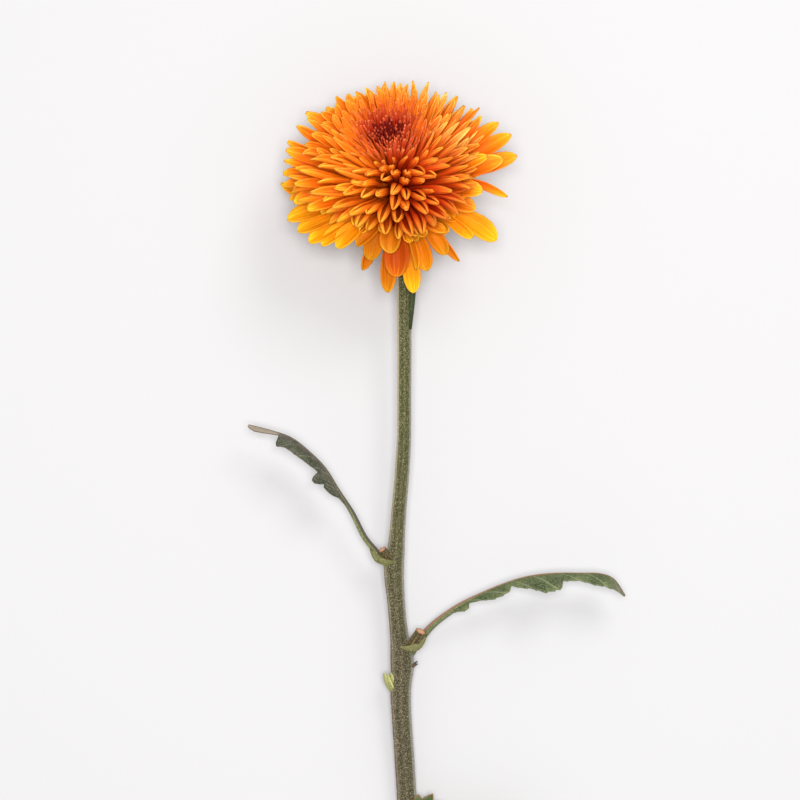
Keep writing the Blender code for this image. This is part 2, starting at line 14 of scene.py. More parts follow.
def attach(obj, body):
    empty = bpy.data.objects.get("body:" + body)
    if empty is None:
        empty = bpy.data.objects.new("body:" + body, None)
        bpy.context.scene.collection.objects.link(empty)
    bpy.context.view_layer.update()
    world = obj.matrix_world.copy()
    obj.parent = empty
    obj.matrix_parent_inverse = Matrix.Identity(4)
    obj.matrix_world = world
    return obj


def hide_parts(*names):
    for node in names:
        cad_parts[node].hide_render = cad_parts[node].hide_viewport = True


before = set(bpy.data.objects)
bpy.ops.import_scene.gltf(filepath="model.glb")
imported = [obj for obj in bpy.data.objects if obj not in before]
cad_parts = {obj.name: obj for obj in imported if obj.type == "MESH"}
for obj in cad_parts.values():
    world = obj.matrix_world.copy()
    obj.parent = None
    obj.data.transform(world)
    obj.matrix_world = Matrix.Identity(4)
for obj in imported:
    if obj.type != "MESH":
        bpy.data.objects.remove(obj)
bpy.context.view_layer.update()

# Ray florets: the petals. Each is a soft strip that rolls in along its edges and hooks over at the tip,
# orange-red inside and golden outside. They stand on the bloom's heart in one spiral round the eye, the
# youngest nearest to it, and the oldest hang loose round the rim.
MM = 0.001
SEED = 11
TOP = Vector((0, 0, 1))        # the side of the bloom that lies uppermost
BLOOM_CENTRE = Vector((-16.0, 115.2, 38.0))
BLOOM_AXIS = Vector((-0.13, 0.80, 0.585)).normalized()
BLOOM_ACROSS = BLOOM_AXIS.cross(TOP).normalized()
BLOOM_UPWARD = BLOOM_ACROSS.cross(BLOOM_AXIS).normalized()
GOLDEN_ANGLE = math.radians(137.508)
FIRST_PETAL = math.radians(13)
LAST_PETAL = math.radians(123)
PLACES = 9000                  # places along the spiral where a petal may stand
PETAL_ROOT = 17.0              # how far from the bloom's centre the petals spring
PETAL_THICKNESS = 0.45
WALLS = {"petals_young": 0.35, "petals_middle": 0.6, "petals_old": PETAL_THICKNESS}
LAYER = 15.0                   # petals this far apart in height may stand over each other
LAYER_SPACINGS = 1.3           # near the eye this many spacings are enough
TABLE_GAP = 0.15               # the lowest petals keep this far off the table
CEILING = 43.0                 # how far above the bloom's centre the petals may reach
SHORTEST_REACH = 25.0          # a petal with less room than this doesn't grow
SHORT_WITHIN = 40              # except within so many degrees of the eye
LINE_POINTS = 24               # points along a petal's middle line
HOOK = (0.78, 0.22)            # where on a petal its hook starts and how much of it that takes
EDGE_CURL = (0.42, 0.58)       # shares of the roll that are even and that come near the edges
LEVEL = 0.02                   # a direction that is less level than this counts as upright
BLUSH_TURN = 0.35              # radians by which the deep red side is turned to the right
# Degrees from the eye, then the share of deep red on the upper side
BLUSH = [(0, 0.9), (20, 0.8), (30, 1.0), (82, 1.0), (98, 0.5), (112, 0.3)]
BLUSH_RING = 26                # degrees from the eye within which it is deep red all round
SLENDER_BLUSH = 0.34           # share of deep red among the slender petals of the far right
# The pale streaks set by the next three lines are a painted highlight on the side beyond and right of the
# centre
HIGHLIGHT_WAY = Vector((0.45, 0.89, 0))    # level way from the bloom's centre to its side with pale streaks
HIGHLIGHT_FROM = (0.6, 0.95)       # how nearly a petal points that way, where the streaks start and are full
PALE = (-0.2, 0.8)             # least and most of the streaks on a petal of that side
# Degrees from the eye up to which the petals have each outline and belong to each ring
OUTLINE_LIMITS = [(34, "pointed"), (92, "quill"), (180, "spoon")]
RING_LIMITS = [(46, "petals_young"), (88, "petals_middle"), (180, "petals_old")]
FLAMES = (34, 100, 26)         # first and last degrees from the eye, and least degrees from the top
FLAME_CREASES = (4, 30)        # degrees to which their halves fold
OTHER_CREASES = (0, 12)
CURLED_TOP = (45, 15)          # degrees from the top where petals start to hook over and where all do
STRAIGHT_WITHIN = 28           # but none does within so many degrees of the eye
HOOKS = (6, 42)                # least degrees of a hook, and most that are added
TIP_ROLLS = {"pointed": 0.6, "flame": 0.6, "quill": 0.9, "spoon": 0.6}     # shares of the roll at the tip
# How petals on the upper side of the eye differ: by how much at most, within how many degrees of the
# eye, and the degrees over which it comes in
UPPER_SIDE = {
    "finer": (0.34, 52, 20),
    "shorter": (4.2, 56, 26),
    "longer": (1.8, 22, 8),
    "younger": (0.11, 58, 24),
}
# How nearly a petal points at the stem, to the far right and away from the stem, as shares of its level
# reach, where the habit of each side starts and is full
STEMWARD_FROM = (0.35, 0.85)
SLENDER_FROM = (0.4, 0.95)
FAR_FROM = (0.5, 0.9)
# Shares that the slender petals on the far right lose of their spacing outward and across and their width
SLENDER_CUTS = (0.14, 0.24, 0.30)
FAR_CUT = 0.10                 # share of their width that petals away from the stem lose
TIP_SCATTER = 0.28             # share of their spacing by which the tips stray at most
PETAL_TWIST = 38               # degrees by which a petal is turned at most about its own line
KNEE = (0.80, 0.008)           # share of the reach where a petal bends, and its growth by a degree of lean

# Degrees from the eye: reach of the tips, then the most spacing, flat width and roll of the edges
GROWTH = [
    (0, 30.5, 1.7, 1.5, 95),
    (12, 31.4, 1.6, 1.5, 100),
    (20, 34.2, 2.0, 2.0, 105),
    (28, 38.6, 2.8, 3.2, 120),
    (36, 42.2, 4.0, 4.6, 150),
    (45, 43.4, 5.6, 6.4, 230),
    (60, 45.2, 16.0, 12.0, 280),
    (80, 45.8, 16.0, 12.0, 280),
    (97, 44.4, 16.0, 12.0, 280),
    (125, 42.0, 16.0, 12.0, 280),
]
# Degrees from the top of the lying bloom: spacing outward and across, outward lean, flat width, roll
LIE = [
    (0, 4.6, 4.5, 0, 8.6, 262),
    (15, 5.2, 4.6, 4, 8.8, 250),
    (28, 6.2, 4.6, 12, 7.8, 205),
    (42, 6.9, 4.3, 18, 6.4, 140),
    (60, 7.0, 4.2, 15, 5.5, 105),
    (78, 7.0, 4.2, 6, 5.4, 95),
    (90, 7.4, 4.6, 0, 6.2, 85),
    (110, 8.4, 6.4, 0, 7.9, 66),
    (140, 9.0, 8.0, 0, 9.6, 50),
]
STEMWARD = (6.0, 5.0, 6, 9.8, 240)     # the same on the side toward the stem
# Degrees from the stem's line, then how far the petals may reach across the table, left and right
RIM = [
    (0, 19.5, 20.0),
    (35, 20.5, 22.0),
    (50, 23.5, 25.0),
    (62, 27.5, 26.5),
    (74, 34.0, 27.0),
    (84, 43.0, 28.0),
    (95, 50.0, 30.0),
    (112, 50.0, 34.0),
    (128, 50.0, 43.0),
]
# Loose petals: tip x, y, z, the bow of its middle in x and y, width, twist, fold, roll of the edges, and
# how deep an orange it is
LOOSE_PETALS = [
    (-19.6, 74.6, 43.0, -1.0, 0.0, 6.4, -10, 10, 40, 0.28),
    (-9.4, 74.4, 42.0, 0.6, 0.0, 7.6, -6, 6, 35, 0.05),
    (-16.2, 80.4, 50.0, 0.0, 0.0, 9.6, 0, 4, 30, 0.75),
    (-4.2, 83.0, 45.0, 1.0, 0.0, 7.4, 10, 6, 40, 0.22),
    (-8.4, 83.4, 49.5, 0.0, 0.0, 5.6, -20, 44, 60, 0.22),
    (-29.2, 83.2, 46.0, -1.4, 0.0, 5.0, -38, 10, 55, 0.45),
    (-26.8, 87.0, 50.0, -1.0, 0.0, 7.4, -12, 8, 40, 0.25),
    (-18.8, 89.4, 56.0, 0.0, 0.0, 8.6, 4, 6, 50, 0.4),
    (-31.8, 92.4, 53.0, 3.0, 0.0, 6.0, -10, 12, 60, 0.3),
    (-8.0, 94.0, 58.0, -3.0, 1.0, 5.6, 8, 24, 70, 0.3),
    (3.4, 89.2, 48.0, 1.0, 0.0, 6.4, 16, 8, 45, 0.21),
    (8.2, 86.8, 42.0, 2.0, 0.0, 3.8, 52, 16, 50, 0.4),
    (13.6, 95.8, 49.0, 2.0, 1.0, 7.0, 36, 24, 60, 0.15),
    (23.2, 95.2, 43.0, 2.0, 2.0, 9.4, 10, 8, 30, 0.0),
    (14.6, 106.6, 55.0, 0.0, 1.0, 8.0, 12, 6, 40, 0.14),
    (17.2, 113.4, 60.0, 0.0, 0.0, 8.6, 14, 6, 50, 0.2),
    (27.2, 112.0, 44.0, 2.0, 8.0, 4.4, 58, 16, 60, 0.2),
    (18.8, 126.6, 62.0, 0.0, -2.0, 7.6, 26, 16, 90, 0.16),
    (25.2, 126.4, 53.0, 0.0, -2.0, 8.6, 14, 6, 50, 0.2),
    (31.0, 128.4, 44.0, 0.0, -2.0, 8.0, 16, 10, 40, 0.18),
    (28.6, 136.6, 45.0, 1.0, -3.0, 7.8, 10, 12, 40, 0.2),
    (23.6, 141.2, 46.0, 1.0, -3.0, 7.0, 6, 12, 45, 0.18),
    (-59.2, 103.4, 44.0, 0.0, 0.0, 9.0, 0, 4, 34, 0.0),
    (-55.0, 98.6, 46.0, 0.0, 0.0, 9.6, 4, 4, 34, 0.0),
    (-50.6, 94.2, 48.0, 0.0, 0.0, 9.8, 6, 4, 34, 0.0),
    (-45.6, 92.8, 50.0, 0.0, 0.0, 7.6, 4, 6, 40, 0.0),
    (-39.6, 91.8, 52.0, 0.0, 0.0, 9.0, 0, 6, 40, 0.0),
]
LOOSE_LIFT = 7.0               # how far the loose petals arch before they droop
LOOSE_KNEE = 0.66              # share of their reach where they bend
LOOSE_AGE_SPREAD = 0.18
HANGING = 0.2                  # those of a deeper orange than this hang limp
STEM_SIDE = 105.0              # those whose tips are below this y are riper than the rest
# Outline of each kind, its age, shares of its width and roll, and the crease added to its fold
LOOSE_KINDS = {
    "hanging": ("limp", 1.08, 1.14, 0.8, 12),
    "stem side": ("spoon", 0.84, 1.0, 1.1, 8),
    "outer": ("spoon", 0.46, 1.0, 1.1, 8),
}
# Flat outlines: the faces across, then share of the length and share of the width, row by row
OUTLINES = {
    "pointed": (4, [(0, 0.5), (0.3, 0.62), (0.52, 0.85), (0.7, 1.0), (0.84, 0.86), (0.94, 0.5), (1, 0.1)]),
    "flame": (6, [
        (0, 0.5), (0.22, 0.62), (0.42, 0.82), (0.58, 0.96), (0.68, 1.0), (0.79, 0.84), (0.88, 0.56),
        (0.945, 0.28), (1, 0.04),
    ]),
    "quill": (6, [
        (0, 0.34), (0.2, 0.46), (0.38, 0.66), (0.54, 0.88), (0.66, 1.0), (0.78, 0.92), (0.88, 0.66),
        (0.95, 0.36), (1, 0.06),
    ]),
    "spoon": (6, [
        (0, 0.34), (0.2, 0.48), (0.4, 0.7), (0.56, 0.9), (0.68, 1.0), (0.80, 0.94), (0.9, 0.7),
        (0.965, 0.38), (1, 0.06),
    ]),
    "limp": (6, [
        (0, 0.34), (0.2, 0.54), (0.4, 0.8), (0.55, 0.96), (0.70, 1.0), (0.83, 0.86), (0.92, 0.6),
        (0.97, 0.34), (1, 0.1),
    ]),
}


def deselect_all():
    if bpy.context.mode != "OBJECT":
        bpy.ops.object.mode_set(mode="OBJECT")
    bpy.ops.object.select_all(action="DESELECT")


def pick(item):
    """Select one object and nothing else."""
    deselect_all()
    item.select_set(True)
    bpy.context.view_layer.objects.active = item


def choose_points(item, wanted):
    """Leave item in edit mode with only those points selected whose place passes the test."""
    bpy.ops.object.mode_set(mode="EDIT")
    bpy.ops.mesh.select_mode(type="VERT")
    bpy.ops.mesh.select_all(action="DESELECT")
    bpy.ops.object.mode_set(mode="OBJECT")
    for point in item.data.vertices:
        point.select = wanted(point.co)
    bpy.ops.object.mode_set(mode="EDIT")


def flat_strip(name, across, rows):
    """Grid cut to a flat outline, from y 0 at the root to y 1 at the tip."""
    deselect_all()
    bpy.ops.mesh.primitive_grid_add(x_subdivisions=across, y_subdivisions=len(rows) - 1, size=2)
    strip = bpy.context.object
    strip.name = name
    step = 2 / (len(rows) - 1)
    for number in reversed(range(len(rows))):
        share, breadth = rows[number]
        at = -1 + step * number
        choose_points(strip, lambda place: abs(place.y - at) < step / 4 and place.z < 0.5)
        bpy.ops.transform.resize(value=(breadth, 1, 1), center_override=(0, 0, 0))
        bpy.ops.transform.translate(value=(0, share - at, 1))
    bpy.ops.mesh.select_all(action="SELECT")
    bpy.ops.transform.translate(value=(0, 0, -1))
    bpy.ops.object.mode_set(mode="OBJECT")
    strip["across"] = across
    return strip


def between(table, at, column):
    """Read one column of a table between its rows, in straight lines."""
    return float(np.interp(at, [row[0] for row in table], [row[column] for row in table]))


def first_above(limits, value):
    """Name beside the first limit that a value is below."""
    return next(name for limit, name in limits if value < limit)


def eased_step(value, low, high):
    """Smooth step from 0 at low to 1 at high, which falls where low is the larger."""
    share = max(0.0, min(1.0, (value - low) / (high - low)))
    return share * share * (3 - 2 * share)


def mixed(first, second, share):
    return first + (second - first) * share


def upper_side(change, nearness, degrees):
    """How much of a change a petal has that is so near the upper side and so many degrees from the eye."""
    most, within, over = UPPER_SIDE[change]
    return most * nearness * eased_step(within - degrees, 0, over)


def dome_direction(polar, azimuth):
    outward = BLOOM_ACROSS * math.cos(azimuth) + BLOOM_UPWARD * math.sin(azimuth)
    return BLOOM_AXIS * math.cos(polar) + outward * math.sin(polar)


def toward_top(direction, degrees):
    """Direction turned toward the top of the lying bloom."""
    axis = direction.cross(TOP)
    if axis.length < LEVEL:
        return direction
    return Quaternion(axis.normalized(), math.radians(degrees)) @ direction


def square_to(way, direction):
    """Unit length of the part of a way that is square to a direction."""
    return (way - direction * (way.dot(direction) / direction.length_squared)).normalized()


def rim_reach(direction):
    """Farthest a petal may go in a direction, so that it stays inside the rim as seen from above."""
    across = math.hypot(direction.x, direction.y)
    from_stem = math.degrees(math.acos(max(-1.0, min(1.0, -direction.y / across))))
    return between(RIM, from_stem, 1 if direction.x < 0 else 2) / across


def habit(direction, degrees):
    """How a petal lies in a direction: spacing outward and across, lean, width, roll, degrees from the top.

    The last two values are its shares of the habits of the stem's side and of the slender far right.
    """
    from_top = math.degrees(direction.angle(TOP))
    across = max(LEVEL, math.hypot(direction.x, direction.y))
    stemward = eased_step(-direction.y / across, *STEMWARD_FROM)
    slender = eased_step((direction.x + direction.y) / across / math.sqrt(2), *SLENDER_FROM)
    slender *= eased_step(from_top, 20, 40)
    outward, aside, lean, width, edge_angle = [
        mixed(between(LIE, from_top, column + 1), STEMWARD[column], stemward) for column in range(5)
    ]
    outward *= 1 - SLENDER_CUTS[0] * slender
    aside *= 1 - SLENDER_CUTS[1] * slender
    width *= 1 - SLENDER_CUTS[2] * slender - FAR_CUT * eased_step(direction.y / across, *FAR_FROM)
    most = between(GROWTH, degrees, 2)
    width = min(width, between(GROWTH, degrees, 3))
    edge_angle = min(edge_angle, between(GROWTH, degrees, 4))
    lean *= eased_step(degrees, 14, 30)
    return min(outward, most), min(aside, most), lean, width, edge_angle, from_top, stemward, slender


def laid_down(points, floor):
    """Bend a line of points along the table where it would go below it, keeping its length."""
    laid = [points[0]]
    for start, end in zip(points, points[1:]):
        step = end - start
        drop = max(step.z, floor - laid[-1].z)
        if drop > step.z:
            flat = Vector((step.x, step.y, 0))
            if flat.length < 0.3:
                flat = Vector((laid[-1].x - BLOOM_CENTRE.x, laid[-1].y - BLOOM_CENTRE.y + 0.5, 0))
            reach = math.sqrt(max(step.length ** 2 - drop ** 2, 0.0))
            step = flat.normalized() * reach + Vector((0, 0, drop))
        laid.append(laid[-1] + step)
    return laid


def middle_line(root, knee, tip, facing, hook=0.0):
    """Line from root to tip through the pull of knee, whose last part turns toward facing."""
    shares = [step / (LINE_POINTS - 1) for step in range(LINE_POINTS)]
    curve = [root * (1 - s) ** 2 + knee * (2 * s * (1 - s)) + tip * s ** 2 for s in shares]
    hooked = [curve[0]]
    for start, end, share in zip(curve, curve[1:], shares):
        step = end - start
        side = step.cross(facing)
        turn = hook * max(0.0, (share - HOOK[0]) / HOOK[1]) ** 1.5
        hooked.append(hooked[-1] + Quaternion(side.normalized(), turn) @ step)
    return laid_down(hooked, TABLE_GAP + PETAL_THICKNESS)


def rolled(share, edge_angle, crease):
    """Place across and height of points on a strip folded at its middle and rolled in at its edges."""
    steps = (np.arange(8) + 0.5)[None, :] / 8 * share[:, None]
    curl = EDGE_CURL[0] * steps + EDGE_CURL[1] * steps ** 3
    turned = edge_angle[:, None] * curl + crease * np.sign(steps)
    across = share * np.cos(turned).mean(axis=1)
    height = share * np.sin(turned).mean(axis=1)
    return across, height


def places(mesh):
    """Places of a mesh's points, one row each."""
    flat = np.empty(len(mesh.vertices) * 3)
    mesh.vertices.foreach_get("co", flat)
    return flat.reshape(-1, 3)


def mark(mesh, name, values):
    """Note a number on each point of a mesh, for its material to read."""
    held = mesh.attributes.new(name, "FLOAT", "POINT")
    held.data.foreach_set("value", np.full(len(mesh.vertices), values, dtype=np.float32))


def grown_petal(strip, line, facing, width, edge_angle, roll, age, variety, blush=0.0, crease=0.0,
                tip_roll=0.55, pale=0.0):
    """Copy of a flat strip, rolled in at its edges and bent along its own middle line."""
    mesh = strip.data.copy()
    flat = places(mesh)
    columns = strip["across"] + 1
    share = np.tile(np.linspace(-1, 1, columns), len(flat) // columns)
    along = flat[:, 1]
    breadth = np.abs(flat[:, 0]).reshape(-1, columns).max(axis=1).repeat(columns)
    opened = np.interp(along, [0, 0.5, 0.8, 1], [1.0, 1.0, 0.95, tip_roll])
    across, height = rolled(share, math.radians(edge_angle) * opened, math.radians(crease))

    line = np.array([tuple(point) for point in line])
    reached = np.linspace(0, 1, len(line))
    tangents = np.gradient(line, axis=0)
    tangents /= np.linalg.norm(tangents, axis=1)[:, None]
    inward = np.array(facing)[None, :] - tangents * (tangents @ np.array(facing))[:, None]
    inward /= np.linalg.norm(inward, axis=1)[:, None]
    side = np.cross(tangents, inward)
    turned_in = inward * math.cos(roll) + side * math.sin(roll)
    turned_side = side * math.cos(roll) - inward * math.sin(roll)

    def at(values):
        return np.stack([np.interp(along, reached, values[:, axis]) for axis in range(3)], axis=1)

    half = (breadth * width / 2)[:, None]
    placed = at(line) + at(turned_side) * across[:, None] * half + at(turned_in) * height[:, None] * half
    placed[:, 2] = np.maximum(placed[:, 2], TABLE_GAP + PETAL_THICKNESS)
    mesh.vertices.foreach_set("co", (placed * MM).ravel())
    # The pale mark is the petal's share of painted highlight
    for name, value in (("age", age), ("variety", variety), ("blush", blush), ("pale", pale)):
        mark(mesh, name, value)
    copy = bpy.data.objects.new("petal", mesh)
    bpy.context.scene.collection.objects.link(copy)
    return copy


def join(name, items):
    """One object of all the items."""
    deselect_all()
    for item in items:
        item.select_set(True)
    bpy.context.view_layer.objects.active = items[0]
    bpy.ops.object.join()
    joined = bpy.context.object
    joined.name = name
    joined.data.name = name
    return joined


def thickened(item, thickness, offset=-1.0, slots=0):
    """Give an open sheet a wall; its second side and its edge take the material that many slots on."""
    wall = item.modifiers.new("thickness", "SOLIDIFY")
    wall.thickness = thickness * MM
    wall.offset = offset
    wall.material_offset = slots
    wall.material_offset_rim = slots
    pick(item)
    bpy.ops.object.modifier_apply(modifier="thickness")
    bpy.ops.object.shade_smooth()


strips = {kind: flat_strip("flat_" + kind, across, rows) for kind, (across, rows) in OUTLINES.items()}
chance = random.Random(SEED)
rings = {name: [] for name in WALLS}
stood = np.empty((0, 3))
for number in range(PLACES):
    share = (number + 0.5) / PLACES
    polar = math.acos(mixed(math.cos(FIRST_PETAL), math.cos(LAST_PETAL), share))
    degrees = math.degrees(polar)
    azimuth = GOLDEN_ANGLE * number
    direction = dome_direction(polar, azimuth)
    outward, aside, lean, width, edge_angle, from_top, stemward, slender = habit(direction, degrees)
    crowding = chance.uniform(0.92, 1.12)
    nearness = max(0.0, math.sin(azimuth))
    fineness = 1 - upper_side("finer", nearness, degrees)
    outward *= fineness
    aside *= fineness
    width *= fineness
    reach = between(GROWTH, degrees, 1) * chance.uniform(0.94, 1.03)
    reach -= upper_side("shorter", nearness, degrees) - upper_side("longer", nearness, degrees)
    reach = min(reach, rim_reach(direction), CEILING / max(direction.z, 0.1))
    if reach < SHORTEST_REACH and degrees > SHORT_WITHIN:
        continue

    # A petal grows where its tip has room among the tips that stand already
    tip = direction * reach
    away = Vector((direction.x, direction.y, 0))
    level = away.length
    away = away.normalized() if level > LEVEL else Vector((0, 1, 0))
    across = Vector((-away.y, away.x, 0))
    gaps = stood - np.array(tip)
    layer = min(LAYER, LAYER_SPACINGS * between(GROWTH, degrees, 2))
    apart = (gaps @ np.array(away) / outward) ** 2 + (gaps @ np.array(across) / aside) ** 2
    apart += (gaps[:, 2] / layer) ** 2
    if len(stood) and apart.min() < crowding:
        continue
    stood = np.vstack([stood, np.array(tip)])
    tip += (away * (chance.uniform(-TIP_SCATTER, TIP_SCATTER) * outward)
            + across * (chance.uniform(-TIP_SCATTER, TIP_SCATTER) * aside))
    lean *= chance.uniform(0.5, 1.6)

    # Petals on top of the lying bloom and on the stem's side hook over the most
    flame = FLAMES[0] < degrees < FLAMES[1] and from_top > FLAMES[2] and stemward < 0.5
    outline = "flame" if flame else first_above(OUTLINE_LIMITS, degrees)
    curled = max(eased_step(from_top, *CURLED_TOP), stemward) * (degrees > STRAIGHT_WITHIN)
    hook = math.radians(HOOKS[0] + chance.uniform(0, HOOKS[1]) * curled)

    # Deep red lies on the upper side and round the eye, and painted highlight in pale streaks on the far
    # right
    upper_red = max(0.0, math.sin(azimuth + BLUSH_TURN)) ** 2 * between(BLUSH, degrees, 1)
    ring_red = eased_step(BLUSH_RING - degrees, 0, 12)
    blush = max(upper_red, ring_red, SLENDER_BLUSH * slender * eased_step(degrees, 30, 50))
    shown_age = polar / LAST_PETAL - upper_side("younger", nearness, degrees)
    highlight_side = eased_step(direction.dot(HIGHLIGHT_WAY) / max(LEVEL, level), *HIGHLIGHT_FROM)
    highlight_side *= eased_step(degrees, 24, 44) * eased_step(from_top, 30, 50)
    # pale: the petal's share of that painted highlight
    pale = highlight_side * chance.uniform(*PALE)

    facing = square_to(BLOOM_AXIS + TOP * (0.9 * eased_step(from_top, 25, 60)), direction)
    sway = across * (chance.uniform(-0.8, 0.8) * aside) - Vector((0, 1, 0)) * (3.0 * slender)
    root = BLOOM_CENTRE + toward_top(direction, lean * 1.1) * PETAL_ROOT
    knee_reach = reach * (KNEE[0] + KNEE[1] * lean)
    knee = BLOOM_CENTRE + toward_top(direction, lean * 0.8) * knee_reach + sway
    line = middle_line(root, knee, BLOOM_CENTRE + tip, facing, hook)
    crease = chance.uniform(*(FLAME_CREASES if flame else OTHER_CREASES))
    roll = math.radians(chance.uniform(-PETAL_TWIST, PETAL_TWIST))
    rings[first_above(RING_LIMITS, degrees)].append(
        grown_petal(strips[outline], line, facing, width * chance.uniform(0.82, 1.14),
                    edge_angle * chance.uniform(0.8, 1.12), roll, shown_age, chance.random(),
                    blush, crease, TIP_ROLLS[outline], pale)
    )
for x, y, z, bow_x, bow_y, width, twist, fold, edge_angle, blush in LOOSE_PETALS:
    kind = "hanging" if blush > HANGING else "stem side" if y < STEM_SIDE else "outer"
    outline, ripe_age, widening, rolling, creasing = LOOSE_KINDS[kind]
    reached = Vector((x, y, z)) - BLOOM_CENTRE
    knee = reached * LOOSE_KNEE + Vector((bow_x, bow_y, LOOSE_LIFT))
    facing = square_to(BLOOM_AXIS + TOP, reached)
    line = middle_line(BLOOM_CENTRE + knee.normalized() * PETAL_ROOT, BLOOM_CENTRE + knee,
                       BLOOM_CENTRE + reached, facing)
    loose_age = chance.uniform(0.0, LOOSE_AGE_SPREAD) + ripe_age
    rings["petals_old"].append(
        grown_petal(strips[outline], line, facing, width * widening, edge_angle * rolling,
                    math.radians(twist), loose_age, chance.random(), blush, fold + creasing)
    )
for strip in strips.values():
    bpy.data.objects.remove(strip, do_unlink=True)


def shader_node(tree, kind, values=None, links=None, **settings):
    """Add a node with its settings, fixed values and incoming links."""
    made = tree.nodes.new(kind)
    for name, value in settings.items():
        setattr(made, name, value)
    for name, value in (values or {}).items():
        made.inputs[name].default_value = value
    for name, source in (links or {}).items():
        tree.links.new(source, made.inputs[name])
    return made


def screen_colour(red, green, blue):
    """Linear colour from 0 to 255 values as the eye reads them on a screen."""
    return tuple(
        ((c / 255 + 0.055) / 1.055) ** 2.4 if c > 10 else c / 255 / 12.92 for c in (red, green, blue)
    )


def feed(tree, socket, value):
    """Give a socket a plain number, a screen colour or what another socket puts out."""
    if isinstance(value, (int, float)):
        socket.default_value = value
    elif isinstance(value, tuple):
        socket.default_value = (*screen_colour(*value), 1.0)
    else:
        tree.links.new(value, socket)


def sums(tree, operation, first, second=0.0, third=0.0, clamp=False):
    """Maths node on links or plain numbers."""
    made = shader_node(tree, "ShaderNodeMath", operation=operation, use_clamp=clamp)
    for socket, value in zip(made.inputs, (first, second, third)):
        feed(tree, socket, value)
    return made.outputs[0]


def times(tree, first, second):
    return sums(tree, "MULTIPLY", first, second)


def rises(tree, value, low, high):
    """Smooth step from 0 at low to 1 at high, which falls where low is the larger."""
    made = shader_node(
        tree, "ShaderNodeMapRange", {"From Min": low, "From Max": high}, {"Value": value},
        interpolation_type="SMOOTHSTEP",
    )
    return made.outputs["Result"]


def blended(tree, factor, first, second):
    """Mix of two colours, more of the second as the factor grows."""
    made = shader_node(tree, "ShaderNodeMix", data_type="RGBA")
    for name, value in (("Factor", factor), ("A", first), ("B", second)):
        feed(tree, [socket for socket in made.inputs if socket.name == name and socket.enabled][0], value)
    return [socket for socket in made.outputs if socket.enabled][0]


def noise(tree, place, scale, detail, roughness=0.5):
    """Soft random pattern from 0 to 1."""
    made = shader_node(tree, "ShaderNodeTexNoise", {"Detail": detail, "Roughness": roughness},
                       {"Vector": place})
    feed(tree, made.inputs["Scale"], scale)
    return made.outputs["Fac"]


def named(tree, attribute):
    """Number that a mesh holds at each of its points."""
    return shader_node(tree, "ShaderNodeAttribute", attribute_name=attribute).outputs["Fac"]


def strip_place(tree):
    """On a flat strip: place from side to side, from its middle to its edges, and from root to tip."""
    spread = shader_node(tree, "ShaderNodeUVMap", uv_map="UVMap").outputs["UV"]
    split = shader_node(tree, "ShaderNodeSeparateXYZ", links={"Vector": spread})
    sideways = split.outputs["X"]
    across = sums(tree, "ABSOLUTE", sums(tree, "MULTIPLY_ADD", sideways, 2.0, -1.0))
    return sideways, across, split.outputs["Y"]


def group_of(name, colours, numbers=()):
    """Node group with its named sockets, still empty; gives the tree and its input and output nodes."""
    tree = bpy.data.node_groups.new(name, "ShaderNodeTree")
    for colour in colours:
        tree.interface.new_socket(colour, in_out="INPUT", socket_type="NodeSocketColor")
    for number_name in numbers:
        tree.interface.new_socket(number_name, in_out="INPUT", socket_type="NodeSocketFloat")
    tree.interface.new_socket("Color", in_out="OUTPUT", socket_type="NodeSocketColor")
    tree.interface.new_socket("Height", in_out="OUTPUT", socket_type="NodeSocketFloat")
    return tree, tree.nodes.new("NodeGroupInput").outputs, tree.nodes.new("NodeGroupOutput").inputs


def plain_material(name, roughness, specular):
    """New material, given with its node tree and its shader."""
    made = bpy.data.materials.new(name)
    made.use_nodes = True
    shader = made.node_tree.nodes["Principled BSDF"]
    shader.inputs["Roughness"].default_value = roughness
    shader.inputs["Specular IOR Level"].default_value = specular
    return made, made.node_tree, shader


def coloured(tree, shader, tone):
    tree.links.new(tone, shader.inputs["Base Color"])


def raised(tree, shader, height, strength, depth=0.0002):
    """Let a pattern stand out of the surface, by that many metres at full strength."""
    bump = shader_node(tree, "ShaderNodeBump", {"Strength": strength, "Distance": depth}, {"Height": height})
    tree.links.new(bump.outputs["Normal"], shader.inputs["Normal"])


def cover(item, *materials):
    for material in materials:
        item.data.materials.append(material)


def hand_over(item, node=None):
    """Give a finished piece its place on the plant's one body and the node it stands for."""
    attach(item, "root")
    if node:
        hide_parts(node)


# Tones of the petals on their faces and backs, from 0 to 255 as on a screen. A petal has a body tone, a
# rim tone and a root tone, each in kinds for its age and blush.
PETAL_TONES = {
    "Young": ((178, 54, 24), (192, 66, 32)),
    "Middle": ((242, 158, 22), (244, 162, 24)),
    "Blush": ((206, 66, 8), (220, 92, 14)),
    "Old": ((248, 186, 16), (248, 188, 20)),
    "Limp": ((194, 136, 8), (198, 140, 10)),
    "Rim Young": ((226, 112, 70), (226, 116, 74)),
    "Rim": ((252, 200, 70), (252, 202, 74)),
    "Rim Blush": ((250, 164, 50), (248, 160, 50)),
    "Rim Old": ((255, 210, 60), (255, 210, 62)),
    "Rim Limp": ((216, 160, 44), (216, 160, 44)),
    "Root": ((232, 106, 12), (236, 112, 16)),
    "Root Blush": ((156, 18, 4), (176, 36, 8)),
    "Root Old": ((236, 142, 12), (240, 148, 16)),
    # Pale is the tone of the painted highlight on the far right of the bloom
    "Pale": ((248, 206, 106), (248, 206, 106)),
    "Tip": ((200, 84, 30), (200, 84, 30)),
}
VEIN_SCALES = (12.0, 1.6, 60.0)        # across and along a petal, and from one petal to the next

